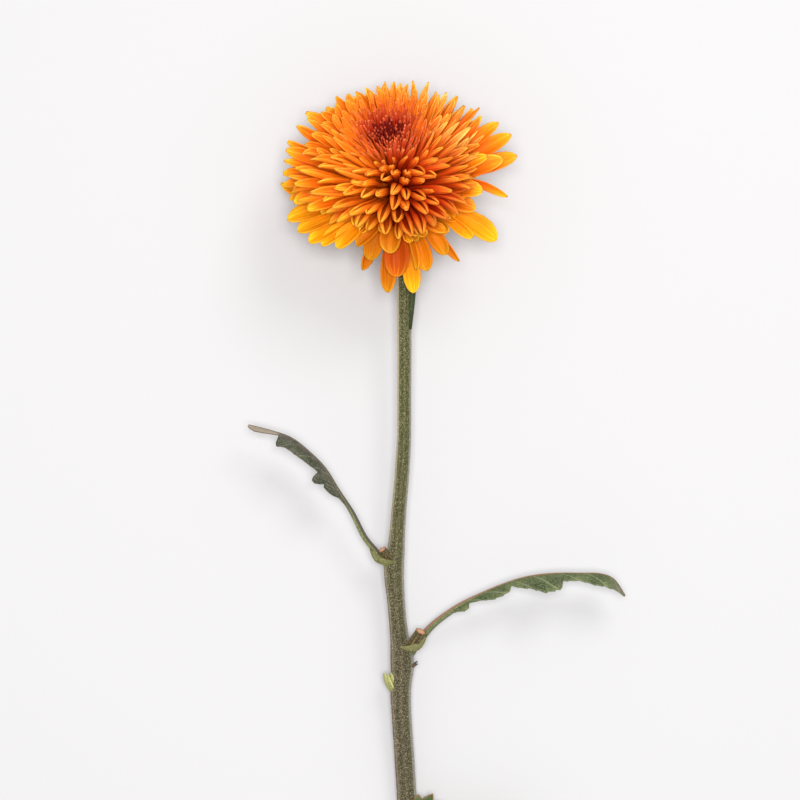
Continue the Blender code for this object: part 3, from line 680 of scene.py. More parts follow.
petal_tones, given, result = group_of("petal_tones", PETAL_TONES)
tree = petal_tones
age = named(tree, "age")
variety = named(tree, "variety")
blush = named(tree, "blush")
sideways, across, along = strip_place(tree)
vein_place = shader_node(
    tree, "ShaderNodeCombineXYZ",
    links={
        axis: times(tree, place, scale)
        for axis, place, scale in zip("XYZ", (sideways, along, variety), VEIN_SCALES)
    },
).outputs["Vector"]
veins = noise(tree, vein_place, 1.0, 4.0, 0.6)
fine_veins = noise(tree, vein_place, 2.6, 2.0, 0.6)
streak = rises(tree, veins, 0.35, 0.7)
ripeness = sums(tree, "MULTIPLY_ADD", variety, 0.36, sums(tree, "SUBTRACT", age, 0.18))
limp = rises(tree, age, 0.98, 1.2)

# Body tone: golden with age, dull when limp, redder inside the bloom and where it blushes
body = blended(tree, rises(tree, ripeness, 0.42, 0.82), given["Middle"], given["Old"])
body = blended(tree, limp, body, given["Limp"])
body = blended(tree, times(tree, rises(tree, age, 0.56, 0.38), 0.42), body, given["Blush"])
body = blended(tree, blush, body, given["Blush"])
body = blended(tree, rises(tree, age, 0.30, 0.14), body, given["Young"])
# Rim tone, in the same way
rim = blended(tree, rises(tree, ripeness, 0.5, 0.9), given["Rim"], given["Rim Old"])
rim = blended(tree, blush, rim, given["Rim Blush"])
rim = blended(tree, limp, rim, given["Rim Limp"])
rim = blended(tree, rises(tree, age, 0.28, 0.12), rim, given["Rim Young"])
# The rim tone lies along the edges and the tip, on the youngest only at the tip, and in the light veins
sides = times(tree, rises(tree, across, 0.45, 0.95), 0.8)
edge = sums(tree, "MAXIMUM", sides, rises(tree, along, 0.78, 1.0))
edge = times(tree, edge, rises(tree, along, 0.2, 0.75))
edge = times(tree, edge, sums(tree, "MULTIPLY_ADD", streak, 0.7, 0.4))
tip_strength = sums(tree, "MULTIPLY_ADD", rises(tree, variety, 0.2, 0.8), 0.75, 0.25)
tip_only = times(tree, rises(tree, along, 0.82, 0.97), tip_strength)
youth = rises(tree, age, 0.30, 0.16)
edge = sums(tree, "MULTIPLY_ADD", sums(tree, "SUBTRACT", tip_only, edge), youth, edge)
outer_part = rises(tree, along, 0.3, 0.8)
light_veins = times(tree, times(tree, rises(tree, veins, 0.5, 0.66), outer_part), 0.85)
edge = sums(tree, "MAXIMUM", edge, light_veins, clamp=True)
tones = blended(tree, edge, body, rim)
# The root tone comes in from the middle of the petal down
root = blended(tree, rises(tree, age, 0.7, 0.95), given["Root"], given["Root Old"])
root = blended(tree, blush, root, given["Root Blush"])
root = blended(tree, times(tree, limp, 0.3), root, given["Root Blush"])
tones = blended(tree, times(tree, rises(tree, along, 0.94, 0.42), 0.95), tones, root)
# Painted highlight streaks, brown points and dark veins come last, and each petal is a little lighter or
# darker
painted_highlight = times(tree, times(tree, named(tree, "pale"), rises(tree, veins, 0.3, 0.6)), outer_part)
tones = blended(tree, painted_highlight, tones, given["Pale"])
scorched = times(tree, rises(tree, along, 0.92, 1.0), rises(tree, variety, 0.2, 0.9))
tones = blended(tree, times(tree, scorched, 0.7), tones, given["Tip"])
tones = blended(tree, times(tree, rises(tree, fine_veins, 0.46, 0.32), 0.5), tones, root)
unevenness = sums(tree, "ADD", times(tree, streak, 0.33), times(tree, variety, 0.2))
lightness = sums(tree, "ADD", 0.72, unevenness)
shaded = shader_node(tree, "ShaderNodeHueSaturation", links={"Value": lightness, "Color": tones})
tree.links.new(shaded.outputs["Color"], result["Color"])
tree.links.new(veins, result["Height"])


def petal_skin(name, side):
    """Soft satin petal material, for side 0, the face, or side 1, the back."""
    made, tree, shader = plain_material(name, 0.5, 0.06)
    shader.inputs["Subsurface Weight"].default_value = 0.15
    shader.inputs["Subsurface Radius"].default_value = (1.0, 0.6, 0.3)
    shader.inputs["Subsurface Scale"].default_value = 0.0005
    tones = shader_node(tree, "ShaderNodeGroup", node_tree=petal_tones)
    for socket, sides in PETAL_TONES.items():
        feed(tree, tones.inputs[socket], sides[side])
    coloured(tree, shader, tones.outputs["Color"])
    raised(tree, shader, tones.outputs["Height"], 0.35, 0.0004)
    return made


petal_face = petal_skin("petal_face", 0)
petal_back = petal_skin("petal_back", 1)
for name, petals in rings.items():
    ring = join(name, petals)
    cover(ring, petal_face, petal_back)
    thickened(ring, WALLS[name], slots=1)
    hand_over(ring, "ray_florets")

# Heart: the fleshy end of the stem that every floret grows from, drawn out into a cushion that shows only in
# the gaps between the petals, with a flat underside where the calyx holds it. Its deep red is painted shade.
HEART_RADIUS = 22.0
HEART_FLOOR = 6.0              # its underside, behind the bloom's centre
HEART_NECK = (9.2, 3.5)        # radius and length of the foot between it and the calyx
HEART_GRAIN = 0.7              # height of its bumps
HEART_GRAIN_SIZE = 2.2
# Deep red tones that paint the shade seen in the gaps between the petals
HEART_SHADE_TONES = ((96, 6, 2), (150, 26, 8))


def stand_on_bloom(item):
    """Carry a shape made upright round the origin, in millimetres, to the bloom's centre and axis."""
    pick(item)
    item.rotation_mode = "QUATERNION"
    item.rotation_quaternion = BLOOM_AXIS.to_track_quat("Z", "Y")
    item.location = BLOOM_CENTRE * MM
    item.scale = (MM, MM, MM)
    bpy.ops.object.transform_apply(location=True, rotation=True, scale=True)


def choose_faces(item, wanted):
    """Leave item in edit mode with only those faces selected whose normal passes the test."""
    bpy.ops.object.mode_set(mode="EDIT")
    bpy.ops.mesh.select_mode(type="FACE")
    bpy.ops.mesh.select_all(action="DESELECT")
    bpy.ops.object.mode_set(mode="OBJECT")
    for face in item.data.polygons:
        face.select = wanted(face.normal)
    bpy.ops.object.mode_set(mode="EDIT")


def own_place(tree):
    """Place on a piece, in metres."""
    return shader_node(tree, "ShaderNodeTexCoord").outputs["Object"]


deselect_all()
bpy.ops.mesh.primitive_uv_sphere_add(segments=40, ring_count=24, radius=HEART_RADIUS)
heart = bpy.context.object
heart.name = "heart"
bpy.ops.object.mode_set(mode="EDIT")
bpy.ops.mesh.select_all(action="SELECT")
bpy.ops.mesh.bisect(plane_co=(0, 0, -HEART_FLOOR), plane_no=(0, 0, -1), use_fill=True, clear_outer=True)
choose_faces(heart, lambda normal: normal.z < -0.99)
floor_radius = math.sqrt(HEART_RADIUS ** 2 - HEART_FLOOR ** 2)
bpy.ops.mesh.inset(thickness=floor_radius - HEART_NECK[0])
bpy.ops.mesh.extrude_region_move(TRANSFORM_OT_translate={"value": (0, 0, -HEART_NECK[1])})
bpy.ops.object.mode_set(mode="OBJECT")
grain = bpy.data.textures.new("heart_grain", "CLOUDS")
grain.noise_scale = HEART_GRAIN_SIZE
bumps = heart.modifiers.new("grain", "DISPLACE")
bumps.texture = grain
bumps.strength = HEART_GRAIN
bpy.ops.object.modifier_apply(modifier="grain")
stand_on_bloom(heart)
bpy.ops.object.shade_smooth()
heart_painted_shade, tree, shader = plain_material("heart_painted_shade", 0.9, 0.05)
blotches = rises(tree, noise(tree, own_place(tree), 260.0, 3.0), 0.3, 0.7)
coloured(tree, shader, blended(tree, blotches, *HEART_SHADE_TONES))
cover(heart, heart_painted_shade)
hand_over(heart)

# Disc florets: the dark eye of narrow tubes that have not opened, each a maroon stalk swelling to a
# paler bud with a dimple in its tip. They stand packed in their own spiral on the middle of the heart.
EYE_FLORETS = 120
EYE_SPREAD = math.radians(15.5)
EYE_ROOT = 21.0
EYE_HEIGHTS = (27.4, 30.4)     # tips at the middle and at the edge, from the bloom's centre
EYE_UNEVEN = 1.2               # most that a tip stands above or below its height
FLORET_RADIUS = 0.36
FLORET_LEAN = 0.09             # most that a floret leans each way, as a slope
FLORET_SIDE = ((0.0, 0.6), (0.9, 1.22), (1.0, 0.75))   # share of its height, share of its radius
EYE_STALK = (104, 10, 4)
EYE_TIPS = ((112, 18, 8), (204, 82, 50))               # of the darkest and the palest florets

deselect_all()
bpy.ops.mesh.primitive_cylinder_add(vertices=6, radius=FLORET_RADIUS, depth=1.0, location=(0, 0, 0.5))
floret = bpy.context.object
bpy.ops.object.transform_apply(location=True, rotation=False, scale=False)
bpy.ops.object.mode_set(mode="EDIT")
for height in (0.72, 0.9):
    bpy.ops.mesh.select_all(action="SELECT")
    bpy.ops.mesh.bisect(plane_co=(0, 0, height), plane_no=(0, 0, 1))
for height, size in FLORET_SIDE:
    choose_points(floret, lambda place: abs(place.z - height) < 0.01)
    bpy.ops.transform.resize(value=(size, size, 1), center_override=(0, 0, height))
choose_faces(floret, lambda normal: normal.z > 0.9)
bpy.ops.mesh.inset(thickness=FLORET_RADIUS * 0.3)
bpy.ops.transform.translate(value=(0, 0, -0.05))
bpy.ops.object.mode_set(mode="OBJECT")

chance = random.Random(SEED + 1)
florets = []
for number in range(EYE_FLORETS):
    share = math.sqrt((number + 0.5) / EYE_FLORETS)
    direction = dome_direction(share * EYE_SPREAD, GOLDEN_ANGLE * number)
    lean = direction + BLOOM_ACROSS * chance.uniform(-FLORET_LEAN, FLORET_LEAN)
    lean += BLOOM_UPWARD * chance.uniform(-FLORET_LEAN, FLORET_LEAN)
    top = mixed(*EYE_HEIGHTS, share ** 2) + chance.uniform(-EYE_UNEVEN, EYE_UNEVEN)
    size = chance.uniform(0.8, 1.1)
    copy = bpy.data.objects.new("floret", floret.data.copy())
    bpy.context.scene.collection.objects.link(copy)
    copy.matrix_world = (
        Matrix.Translation((BLOOM_CENTRE + direction * EYE_ROOT) * MM)
        @ lean.to_track_quat("Z", "Y").to_matrix().to_4x4()
        @ Matrix.Diagonal((size * MM, size * MM, (top - EYE_ROOT) * MM, 1))
    )
    mark(copy.data, "height_share", places(copy.data)[:, 2])
    mark(copy.data, "variety", chance.random() * (0.8 + 0.2 * share))
    florets.append(copy)
bpy.data.objects.remove(floret, do_unlink=True)
eye = join("eye_florets", florets)
bpy.ops.object.transform_apply(location=True, rotation=True, scale=True)
bpy.ops.object.shade_smooth_by_angle(angle=math.radians(50))
eye_maroon, tree, shader = plain_material("eye_maroon", 0.55, 0.25)
tip_tone = blended(tree, rises(tree, named(tree, "variety"), 0.45, 0.75), *EYE_TIPS)
coloured(tree, shader,
         blended(tree, rises(tree, named(tree, "height_share"), 0.86, 0.94), EYE_STALK, tip_tone))
cover(eye, eye_maroon)
hand_over(eye, "disc_florets")

# Calyx: the green cup under the bloom, a thin wall of small pointed bracts in three rows that overlap
# like tiles, dull green with a brown papery edge. It grows on the end of the stem.
CUP_SIDE = [                   # radius and depth behind the bloom's centre, from the lip to the stem
    (8.4, 9.75), (9.5, 10.2), (9.6, 11.6), (8.8, 13.4), (7.2, 15.3), (5.2, 17.0), (3.7, 18.3), (3.3, 19.0),
]
BRACT_ROWS = [                 # count, width, then radius and depth of the root, knee and tip
    (15, 5.4, (5.4, 16.4), (10.6, 15.0), (13.4, 12.0)),
    (13, 4.8, (4.6, 17.2), (10.0, 16.6), (12.2, 14.2)),
    (10, 3.8, (3.8, 17.9), (8.2, 18.0), (10.2, 16.2)),
]
BRACT_THICKNESS = 0.35
BRACT_ROLL = 50
HAIR_GRAINS = 1500.0           # grains of down to a metre


def along_axis(radius, depth, turn):
    """Point at a radius from the bloom's axis and a depth behind its centre."""
    outward = BLOOM_ACROSS * math.cos(turn) + BLOOM_UPWARD * math.sin(turn)
    return BLOOM_CENTRE - BLOOM_AXIS * depth + outward * radius


def turned_outwards():
    """Make all the faces of the shape at hand point outwards."""
    bpy.ops.object.mode_set(mode="EDIT")
    bpy.ops.mesh.select_all(action="SELECT")
    bpy.ops.mesh.normals_make_consistent(inside=False)
    bpy.ops.object.mode_set(mode="OBJECT")


deselect_all()
bpy.ops.mesh.primitive_circle_add(vertices=32, radius=CUP_SIDE[0][0], location=(0, 0, -CUP_SIDE[0][1]),
                                  fill_type="NGON")
cup = bpy.context.object
cup.name = "calyx_cup"
bpy.ops.object.mode_set(mode="EDIT")
bpy.ops.mesh.select_all(action="SELECT")
for (above, depth_above), (radius, depth) in zip(CUP_SIDE, CUP_SIDE[1:]):
    bpy.ops.mesh.extrude_region_move(TRANSFORM_OT_translate={"value": (0, 0, depth_above - depth)})
    grow = radius / above
    bpy.ops.transform.resize(value=(grow, grow, 1), center_override=(0, 0, -depth))
turned_outwards()
stand_on_bloom(cup)
bpy.ops.object.shade_smooth()

bract_strip = flat_strip("bract_strip", 4, [
    (0, 0.7), (0.25, 0.9), (0.5, 1.0), (0.7, 0.86), (0.86, 0.56), (0.96, 0.24), (1, 0.05),
])
chance = random.Random(SEED + 2)
bracts = []
for row, (count, width, root, knee, tip) in enumerate(BRACT_ROWS):
    for number in range(count):
        turn = 2 * math.pi * (number + row / 2 + chance.uniform(-0.1, 0.1)) / count
        points = [along_axis(radius, depth, turn) for radius, depth in (root, knee, tip)]
        line = middle_line(*points, BLOOM_AXIS)
        bracts.append(grown_petal(bract_strip, line, BLOOM_AXIS, width, BRACT_ROLL, 0.0, row / 2,
                                  chance.random()))
calyx = join("calyx_bracts", bracts)
thickened(calyx, BRACT_THICKNESS)

green_tones, given, result = group_of("green_tones", ("Body", "Pale", "Hair"), ("Hair Scale", "Hair Share"))
tree = green_tones
place = own_place(tree)
hair = noise(tree, place, given["Hair Scale"], 2.0, 0.7)
tone = blended(tree, rises(tree, noise(tree, place, 130.0, 3.0), 0.35, 0.7), given["Body"], given["Pale"])
tone = blended(tree, times(tree, rises(tree, hair, 0.52, 0.72), given["Hair Share"]), tone, given["Hair"])
tree.links.new(tone, result["Color"])
tree.links.new(hair, result["Height"])


def green_base(name, body, pale, hair, hair_scale, hair_share):
    """Dull plant skin with blotches and fine pale hair, whose tone and height are still to be used."""
    made, tree, shader = plain_material(name, 0.6, 0.25)
    tones = shader_node(tree, "ShaderNodeGroup", node_tree=green_tones)
    for socket, value in zip(tones.inputs, (body, pale, hair, hair_scale, hair_share)):
        feed(tree, socket, value)
    return made, tree, shader, tones.outputs["Color"], tones.outputs["Height"]


def green_skin(name, body, pale, hair, margin=None, hair_scale=HAIR_GRAINS, hair_share=0.5):
    """Dull plant skin, whose margin is a tone along the edges and tip of a strip and where it starts."""
    made, tree, shader, tone, height = green_base(name, body, pale, hair, hair_scale, hair_share)
    if margin:
        margin_tone, start = margin
        _, across, along = strip_place(tree)
        edge = sums(tree, "MAXIMUM", rises(tree, across, start, 1.0), rises(tree, along, 0.86, 1.0))
        tone = blended(tree, edge, tone, margin_tone)
    coloured(tree, shader, tone)
    raised(tree, shader, height, 0.5)
    return made


cover(cup, green_skin("cup_green", (110, 116, 58), (138, 142, 82), (180, 178, 130)))
hand_over(cup, "calyx")
cover(calyx, green_skin("bract_green", (104, 112, 52), (140, 144, 84), (190, 186, 140),
                        ((132, 88, 46), 0.55)))
hand_over(calyx, "calyx")

# Stem: one firm ribbed stalk, green under the bloom and browner toward the foot, with pale ridges and a
# short whitish down. It swells at each leaf joint and was cut square at the foot, where the pith shows.
NECK_DEPTHS = (18.6, 21.4)
NECK_DIAMETER = 5.3
STEM = [                       # x, y, z and diameter, from the neck to the cut end
    (-13.3, 94.6, 24.9, 5.4), (-13.2, 90.0, 24.5, 5.5), (-13.2, 82.0, 24.3, 5.6), (-13.1, 72.0, 24.1, 5.7),
    (-13.0, 50.7, 23.2, 5.6), (-13.1, 34.0, 22.1, 5.6), (-13.2, 17.2, 21.0, 5.7), (-14.0, 2.8, 19.9, 5.9),
    (-15.2, -11.7, 18.5, 6.0), (-15.9, -21.3, 17.5, 6.4), (-16.5, -28.6, 16.9, 7.2),
    (-17.2, -34.2, 16.3, 8.2), (-17.0, -40.7, 15.7, 7.8), (-16.4, -47.9, 15.0, 7.2),
    (-15.5, -58.4, 14.0, 7.2), (-14.7, -65.3, 13.4, 8.0), (-14.0, -71.4, 12.8, 9.4),
    (-13.9, -76.3, 12.3, 9.3), (-14.5, -82.8, 11.7, 8.6), (-14.2, -94.2, 10.6, 8.0),
    (-12.9, -113.7, 8.7, 8.0), (-12.0, -128.8, 7.2, 8.0), (-11.4, -135.4, 6.5, 8.8),
    (-11.2, -141.5, 5.9, 8.2), (-10.4, -157.6, 4.2, 8.2),
]
STEM_RIBS = 8
RIB_DEPTH = 0.12               # share of the stem's radius
PITH = (0.84, 0.3)             # shares of a stalk's radius inside its rind and inside its fibre
STEM_HAIRS = 4200
HAIR = (0.05, 0.8)             # radius at the root and length
HAIR_SINK = 0.1                # how deep the hairs' roots are in the skin
HAIR_LENGTHS = (0.6, 1.2)      # shares of that length
HAIR_SLOPES = (-0.9, 0.3)      # how they lean, toward the bloom below 0 and toward the foot above it
HAIRY_PART = (0.03, 0.985)     # shares of the stem's length
# Lines along the stem's flanks as seen from above: the pale bands are painted sheen, the dark green band is
# painted shade, and a brown line runs along the far left edge
STEM_SHEEN_SHADE_LINES = [                 # tone, where across the stem it starts and is full, strength low and high
    ((180, 168, 132), -0.74, -0.90, 0.25, 0.9),
    ((96, 58, 40), -0.93, -0.98, 0.8, 0.0),
    ((50, 56, 26), 0.35, 0.6, 0.45, 0.3),
    ((150, 142, 118), 0.72, 0.8, 0.5, 0.5),
    ((140, 132, 142), 0.92, 0.99, 0.6, 0.6),
]
FRESH_CUT = ((150, 140, 86), (206, 204, 160), (226, 224, 190))     # rind, fibre and pith


def eased(stations, shares):
    """Values of a row of stations at shares of its length, on a smooth curve through them."""
    table = np.array(stations, dtype=float)
    lengths = np.linalg.norm(np.diff(table[:, :3], axis=0), axis=1)
    knots = np.concatenate([[0.0], np.cumsum(lengths)]) / lengths.sum()
    padded = np.vstack([2 * table[0] - table[1], table, 2 * table[-1] - table[-2]])
    low = np.clip(np.searchsorted(knots, shares, side="right") - 1, 0, len(table) - 2)
    t = ((shares - knots[low]) / (knots[low + 1] - knots[low]))[:, None]
    a, b, c, d = (padded[low + step] for step in range(4))
    return b + 0.5 * t * (c - a + t * (2 * a - 5 * b + 4 * c - d + t * (3 * (b - c) + d - a)))


def unit(vectors):
    return vectors / np.linalg.norm(vectors, axis=1)[:, None]


def route_frame(stations, shares):
    """Points, tangents, sides, tops and diameters of a route at those shares."""
    step = 0.002
    here = eased(stations, shares)
    ahead = eased(stations, np.clip(shares + step, 0, 1))
    behind = eased(stations, np.clip(shares - step, 0, 1))
    tangents = unit(ahead[:, :3] - behind[:, :3])
    sides = unit(np.cross(tangents, (0.0, 0.0, 1.0)))
    return here[:, :3], tangents, sides, np.cross(sides, tangents), here[:, 3]


def ribbed(radius, angle, ribs, depth):
    """Radius of a ribbed stalk at an angle round it."""
    return radius * (1 - depth * (0.5 - 0.5 * np.cos(ribs * angle)))


def grown_tube(name, stations, around, rings, ribs, rib_depth):
    """Ribbed stalk laid along a route.

    Its points know their place on a rib, round the stalk and across its cut ends.
    """
    deselect_all()
    bpy.ops.mesh.primitive_cylinder_add(vertices=around, radius=1, depth=2)
    tube = bpy.context.object
    tube.name = name
    for face in tube.data.polygons:
        face.material_index = int(abs(face.normal.z) > 0.9)
    choose_faces(tube, lambda normal: abs(normal.z) > 0.9)
    bpy.ops.mesh.inset(thickness=1 - PITH[0], use_individual=True)
    bpy.ops.mesh.inset(thickness=PITH[0] - PITH[1], use_individual=True)
    bpy.ops.mesh.select_mode(type="EDGE")
    bpy.ops.mesh.select_all(action="DESELECT")
    bpy.ops.object.mode_set(mode="OBJECT")
    points = tube.data.vertices
    for edge in tube.data.edges:
        ends = [points[index].co for index in edge.vertices]
        edge.select = abs(ends[0].z - ends[1].z) > 1
    bpy.ops.object.mode_set(mode="EDIT")
    bpy.ops.mesh.subdivide(number_cuts=rings)
    bpy.ops.object.mode_set(mode="OBJECT")

    upright = places(tube.data)
    middle, tangents, sides, tops, diameters = route_frame(stations, (upright[:, 2] + 1) / 2)
    angle = np.arctan2(upright[:, 1], upright[:, 0])
    inside = np.hypot(upright[:, 0], upright[:, 1])
    radius = ribbed(inside * diameters / 2, angle, ribs, rib_depth)
    laid = middle + sides * (np.cos(angle) * radius)[:, None] + tops * (np.sin(angle) * radius)[:, None]
    laid[:, 2] = np.maximum(laid[:, 2], TABLE_GAP)
    points.foreach_set("co", (laid * MM).ravel())
    mark(tube.data, "crest", np.cos(ribs * angle))
    outer_flank = np.sign(sides[:, 0] + 3 * sides[:, 1])
    mark(tube.data, "outer", np.cos(angle) * outer_flank)
    mark(tube.data, "inside", inside)
    turned_outwards()
    bpy.ops.object.shade_smooth_by_angle(angle=math.radians(60))
    return tube


def ribbed_skin(name, low, high, ridge, groove, fleck, lines=(), sides=0.8, turn=(-0.06, 0.06)):
    """Skin of a ribbed stalk, whose low and high body tones change between the two values of y in turn.

    The ridges are paler: partly their own tone and partly a painted sheen, which is the stronger toward the
    stalk's flanks as seen from above, by that share. Lines run along it.
    """
    made, tree, shader = plain_material(name, 0.65, 0.2)
    shader.inputs["Sheen Weight"].default_value = 0.12
    shader.inputs["Sheen Roughness"].default_value = 0.5
    place = own_place(tree)
    height = shader_node(tree, "ShaderNodeSeparateXYZ", links={"Vector": place}).outputs["Y"]
    outer = named(tree, "outer")
    crest = rises(tree, named(tree, "crest"), 0.2, 1.0)
    valley = rises(tree, named(tree, "crest"), -0.3, -1.0)
    drift = noise(tree, place, 90.0, 3.0)
    stretched = shader_node(tree, "ShaderNodeMapping", {"Scale": (2400.0, 1700.0, 2400.0)},
                            {"Vector": place}).outputs["Vector"]
    down = noise(tree, stretched, 1.0, 2.0, 0.75)
    climb = sums(tree, "ADD", height, times(tree, drift, 0.05))
    highness = rises(tree, climb, *turn)
    tone = blended(tree, highness, low, high)
    tone = blended(tree, times(tree, valley, 0.5), tone, groove)
    sideness = sums(tree, "POWER", sums(tree, "ABSOLUTE", outer), 2.0)
    sideways = sums(tree, "MULTIPLY_ADD", sideness, sides, 1 - sides)
    # Pale ridges, with a painted sheen on them toward the flanks as seen from above
    pale_ridges_and_sheen = times(tree, times(tree, crest, sideways), rises(tree, drift, 0.2, 0.6))
    tone = blended(tree, times(tree, pale_ridges_and_sheen, 0.6), tone, ridge)
    tone = blended(tree, times(tree, rises(tree, down, 0.52, 0.38), 0.7), tone, groove)
    tone = blended(tree, times(tree, rises(tree, down, 0.5, 0.66), 0.6), tone, fleck)
    # Lines along the flanks, among them painted sheen and painted shade
    for line, start, full, at_low, at_high in lines:
        strength = sums(tree, "MULTIPLY_ADD", highness, at_high - at_low, at_low)
        tone = blended(tree, times(tree, rises(tree, outer, start, full), strength), tone, line)
    coloured(tree, shader, tone)
    raised(tree, shader, down, 0.6)
    return made


def cut_face(name, rind, flesh, pith):
    """Cut across a stalk: rind, ring of fibre and soft pith in the middle."""
    made, tree, shader = plain_material(name, 0.75, 0.5)
    fibre = noise(tree, own_place(tree), 1900.0, 2.0)
    inside = sums(tree, "MULTIPLY_ADD", fibre, 0.2, sums(tree, "SUBTRACT", named(tree, "inside"), 0.1))
    tone = blended(tree, rises(tree, inside, 0.3, 0.6), pith, flesh)
    tone = blended(tree, rises(tree, inside, 0.78, 0.92), tone, rind)
    tone = blended(tree, times(tree, rises(tree, fibre, 0.5, 0.75), 0.5), tone, rind)
    coloured(tree, shader, tone)
    raised(tree, shader, fibre, 0.5)
    return made


neck = [(*(BLOOM_CENTRE - BLOOM_AXIS * depth), NECK_DIAMETER) for depth in NECK_DEPTHS]
stem_route = neck + STEM
stem = grown_tube("stem_skin", stem_route, 48, 150, STEM_RIBS, RIB_DEPTH)
stem_green = ribbed_skin("stem_green", (72, 62, 42), (72, 74, 30), (144, 132, 98), (32, 34, 14),
                         (158, 150, 118), STEM_SHEEN_SHADE_LINES, 0.85)
cover(stem, stem_green, cut_face("stem_cut", *FRESH_CUT))
hand_over(stem, "stem")

deselect_all()
bpy.ops.mesh.primitive_cone_add(vertices=3, radius1=HAIR[0], radius2=0, depth=HAIR[1],
                                location=(0, 0, HAIR[1] / 2))
down = bpy.context.object
down.name = "stem_down"
bpy.ops.object.transform_apply(location=True, rotation=True, scale=True)
row_of_hairs = down.modifiers.new("row", "ARRAY")
row_of_hairs.count = STEM_HAIRS
row_of_hairs.use_relative_offset = False
row_of_hairs.use_constant_offset = True
row_of_hairs.constant_offset_displace = (1, 0, 0)
bpy.ops.object.modifier_apply(modifier="row")
drawn = np.random.default_rng(SEED)
shares = drawn.uniform(*HAIRY_PART, STEM_HAIRS)
angles = drawn.uniform(-math.pi, math.pi, STEM_HAIRS)
middle, tangents, sides, tops, diameters = route_frame(stem_route, shares)
outward = sides * np.cos(angles)[:, None] + tops * np.sin(angles)[:, None]
skin_radius = ribbed(diameters / 2, angles, STEM_RIBS, RIB_DEPTH)
rooted = middle + outward * (skin_radius - HAIR_SINK)[:, None]
rooted[:, 2] = np.maximum(rooted[:, 2], TABLE_GAP + HAIR[1])
grown = unit(outward + tangents * drawn.uniform(*HAIR_SLOPES, STEM_HAIRS)[:, None])
flank = unit(np.cross(grown, tangents))
third = np.cross(grown, flank)
lengths = drawn.uniform(*HAIR_LENGTHS, STEM_HAIRS)
upright = places(down.data).reshape(STEM_HAIRS, -1, 3)
upright[:, :, 0] -= np.arange(STEM_HAIRS)[:, None]
laid = (rooted[:, None, :] + flank[:, None, :] * upright[:, :, 0:1] + third[:, None, :] * upright[:, :, 1:2]
        + grown[:, None, :] * (upright[:, :, 2] * lengths[:, None])[:, :, None])
down.data.vertices.foreach_set("co", (laid * MM).ravel())
cover(down, green_skin("down_white", (206, 204, 184), (224, 222, 206), (236, 234, 222)))
hand_over(down)

# Leaves: three lobed leaves, each one blade hanging folded from its midrib like a saddle, matt grey-green
# above and paler below, on a grooved stalk whose foot clasps the stem. The midrib shows pinkish brown.
LEFT_MIDRIB = [                # x, y, z and diameter, from inside the stem outward
    (-18.0, -35.4, 16.0, 3.4), (-21.2, -32.2, 16.4, 3.4), (-24.6, -28.2, 17.0, 2.7),
    (-29.2, -22.4, 18.0, 2.5), (-34.0, -12.8, 19.0, 2.2), (-39.6, -3.8, 20.0, 1.6), (-45.0, 5.2, 21.0, 1.2),
    (-52.3, 12.6, 22.0, 1.0), (-58.7, 17.4, 22.4, 0.8), (-66.7, 20.2, 22.6, 0.7), (-75.2, 22.4, 22.6, 0.6),
]
RIGHT_MIDRIB = [
    (-12.0, -71.0, 12.2, 4.8), (-9.6, -67.6, 12.6, 3.9), (-6.4, -63.4, 13.6, 3.4), (-1.9, -58.2, 14.8, 2.9),
    (4.1, -53.4, 16.0, 2.6), (10.5, -49.2, 17.0, 2.3), (17.3, -45.6, 18.0, 1.6), (25.2, -42.0, 19.0, 1.2),
    (33.2, -39.2, 19.6, 1.1), (41.2, -37.6, 20.0, 1.0), (49.1, -37.0, 20.2, 0.9), (57.1, -37.0, 20.2, 0.8),
    (65.2, -37.2, 20.0, 0.8), (70.8, -39.4, 19.6, 0.7), (75.3, -45.8, 19.2, 0.6),
]
LOW_MIDRIB = [
    (-10.2, -139.6, 6.0, 4.2), (-10.4, -136.4, 6.8, 3.2), (-10.6, -132.8, 7.8, 2.4), (-6.6, -131.0, 8.8, 2.0),
    (0.0, -131.8, 9.8, 1.8), (8.0, -134.6, 10.6, 1.7), (17.0, -139.0, 11.2, 1.6),
    (26.0, -143.5, 11.4, 1.4), (34.0, -147.0, 11.2, 1.2), (41.0, -149.5, 10.8, 1.0),
    (46.3, -150.9, 10.4, 0.8),
]
# Share of the midrib's length, then the width of the half nearer the eye and of the half nearer the table
LEFT_LOBES = [
    (0.26, 0.8, 0.8), (0.38, 1.4, 1.2), (0.42, 2.2, 2.2), (0.445, 5.0, 3.6), (0.47, 6.8, 5.0),
    (0.495, 7.4, 5.6), (0.508, 6.2, 5.2), (0.518, 9.4, 5.0), (0.533, 11.8, 4.6), (0.553, 12.0, 4.4),
    (0.568, 10.4, 4.6), (0.578, 5.4, 5.0), (0.60, 5.6, 5.6), (0.64, 6.6, 6.2), (0.69, 7.4, 6.4),
    (0.74, 7.8, 6.2), (0.79, 8.2, 4.8), (0.825, 9.2, 4.4), (0.838, 8.0, 3.8), (0.847, 1.4, 1.8),
    (0.88, 2.2, 1.8), (0.92, 3.0, 2.0), (0.96, 3.3, 2.0), (0.985, 2.4, 1.6), (1.0, 1.2, 0.8),
]
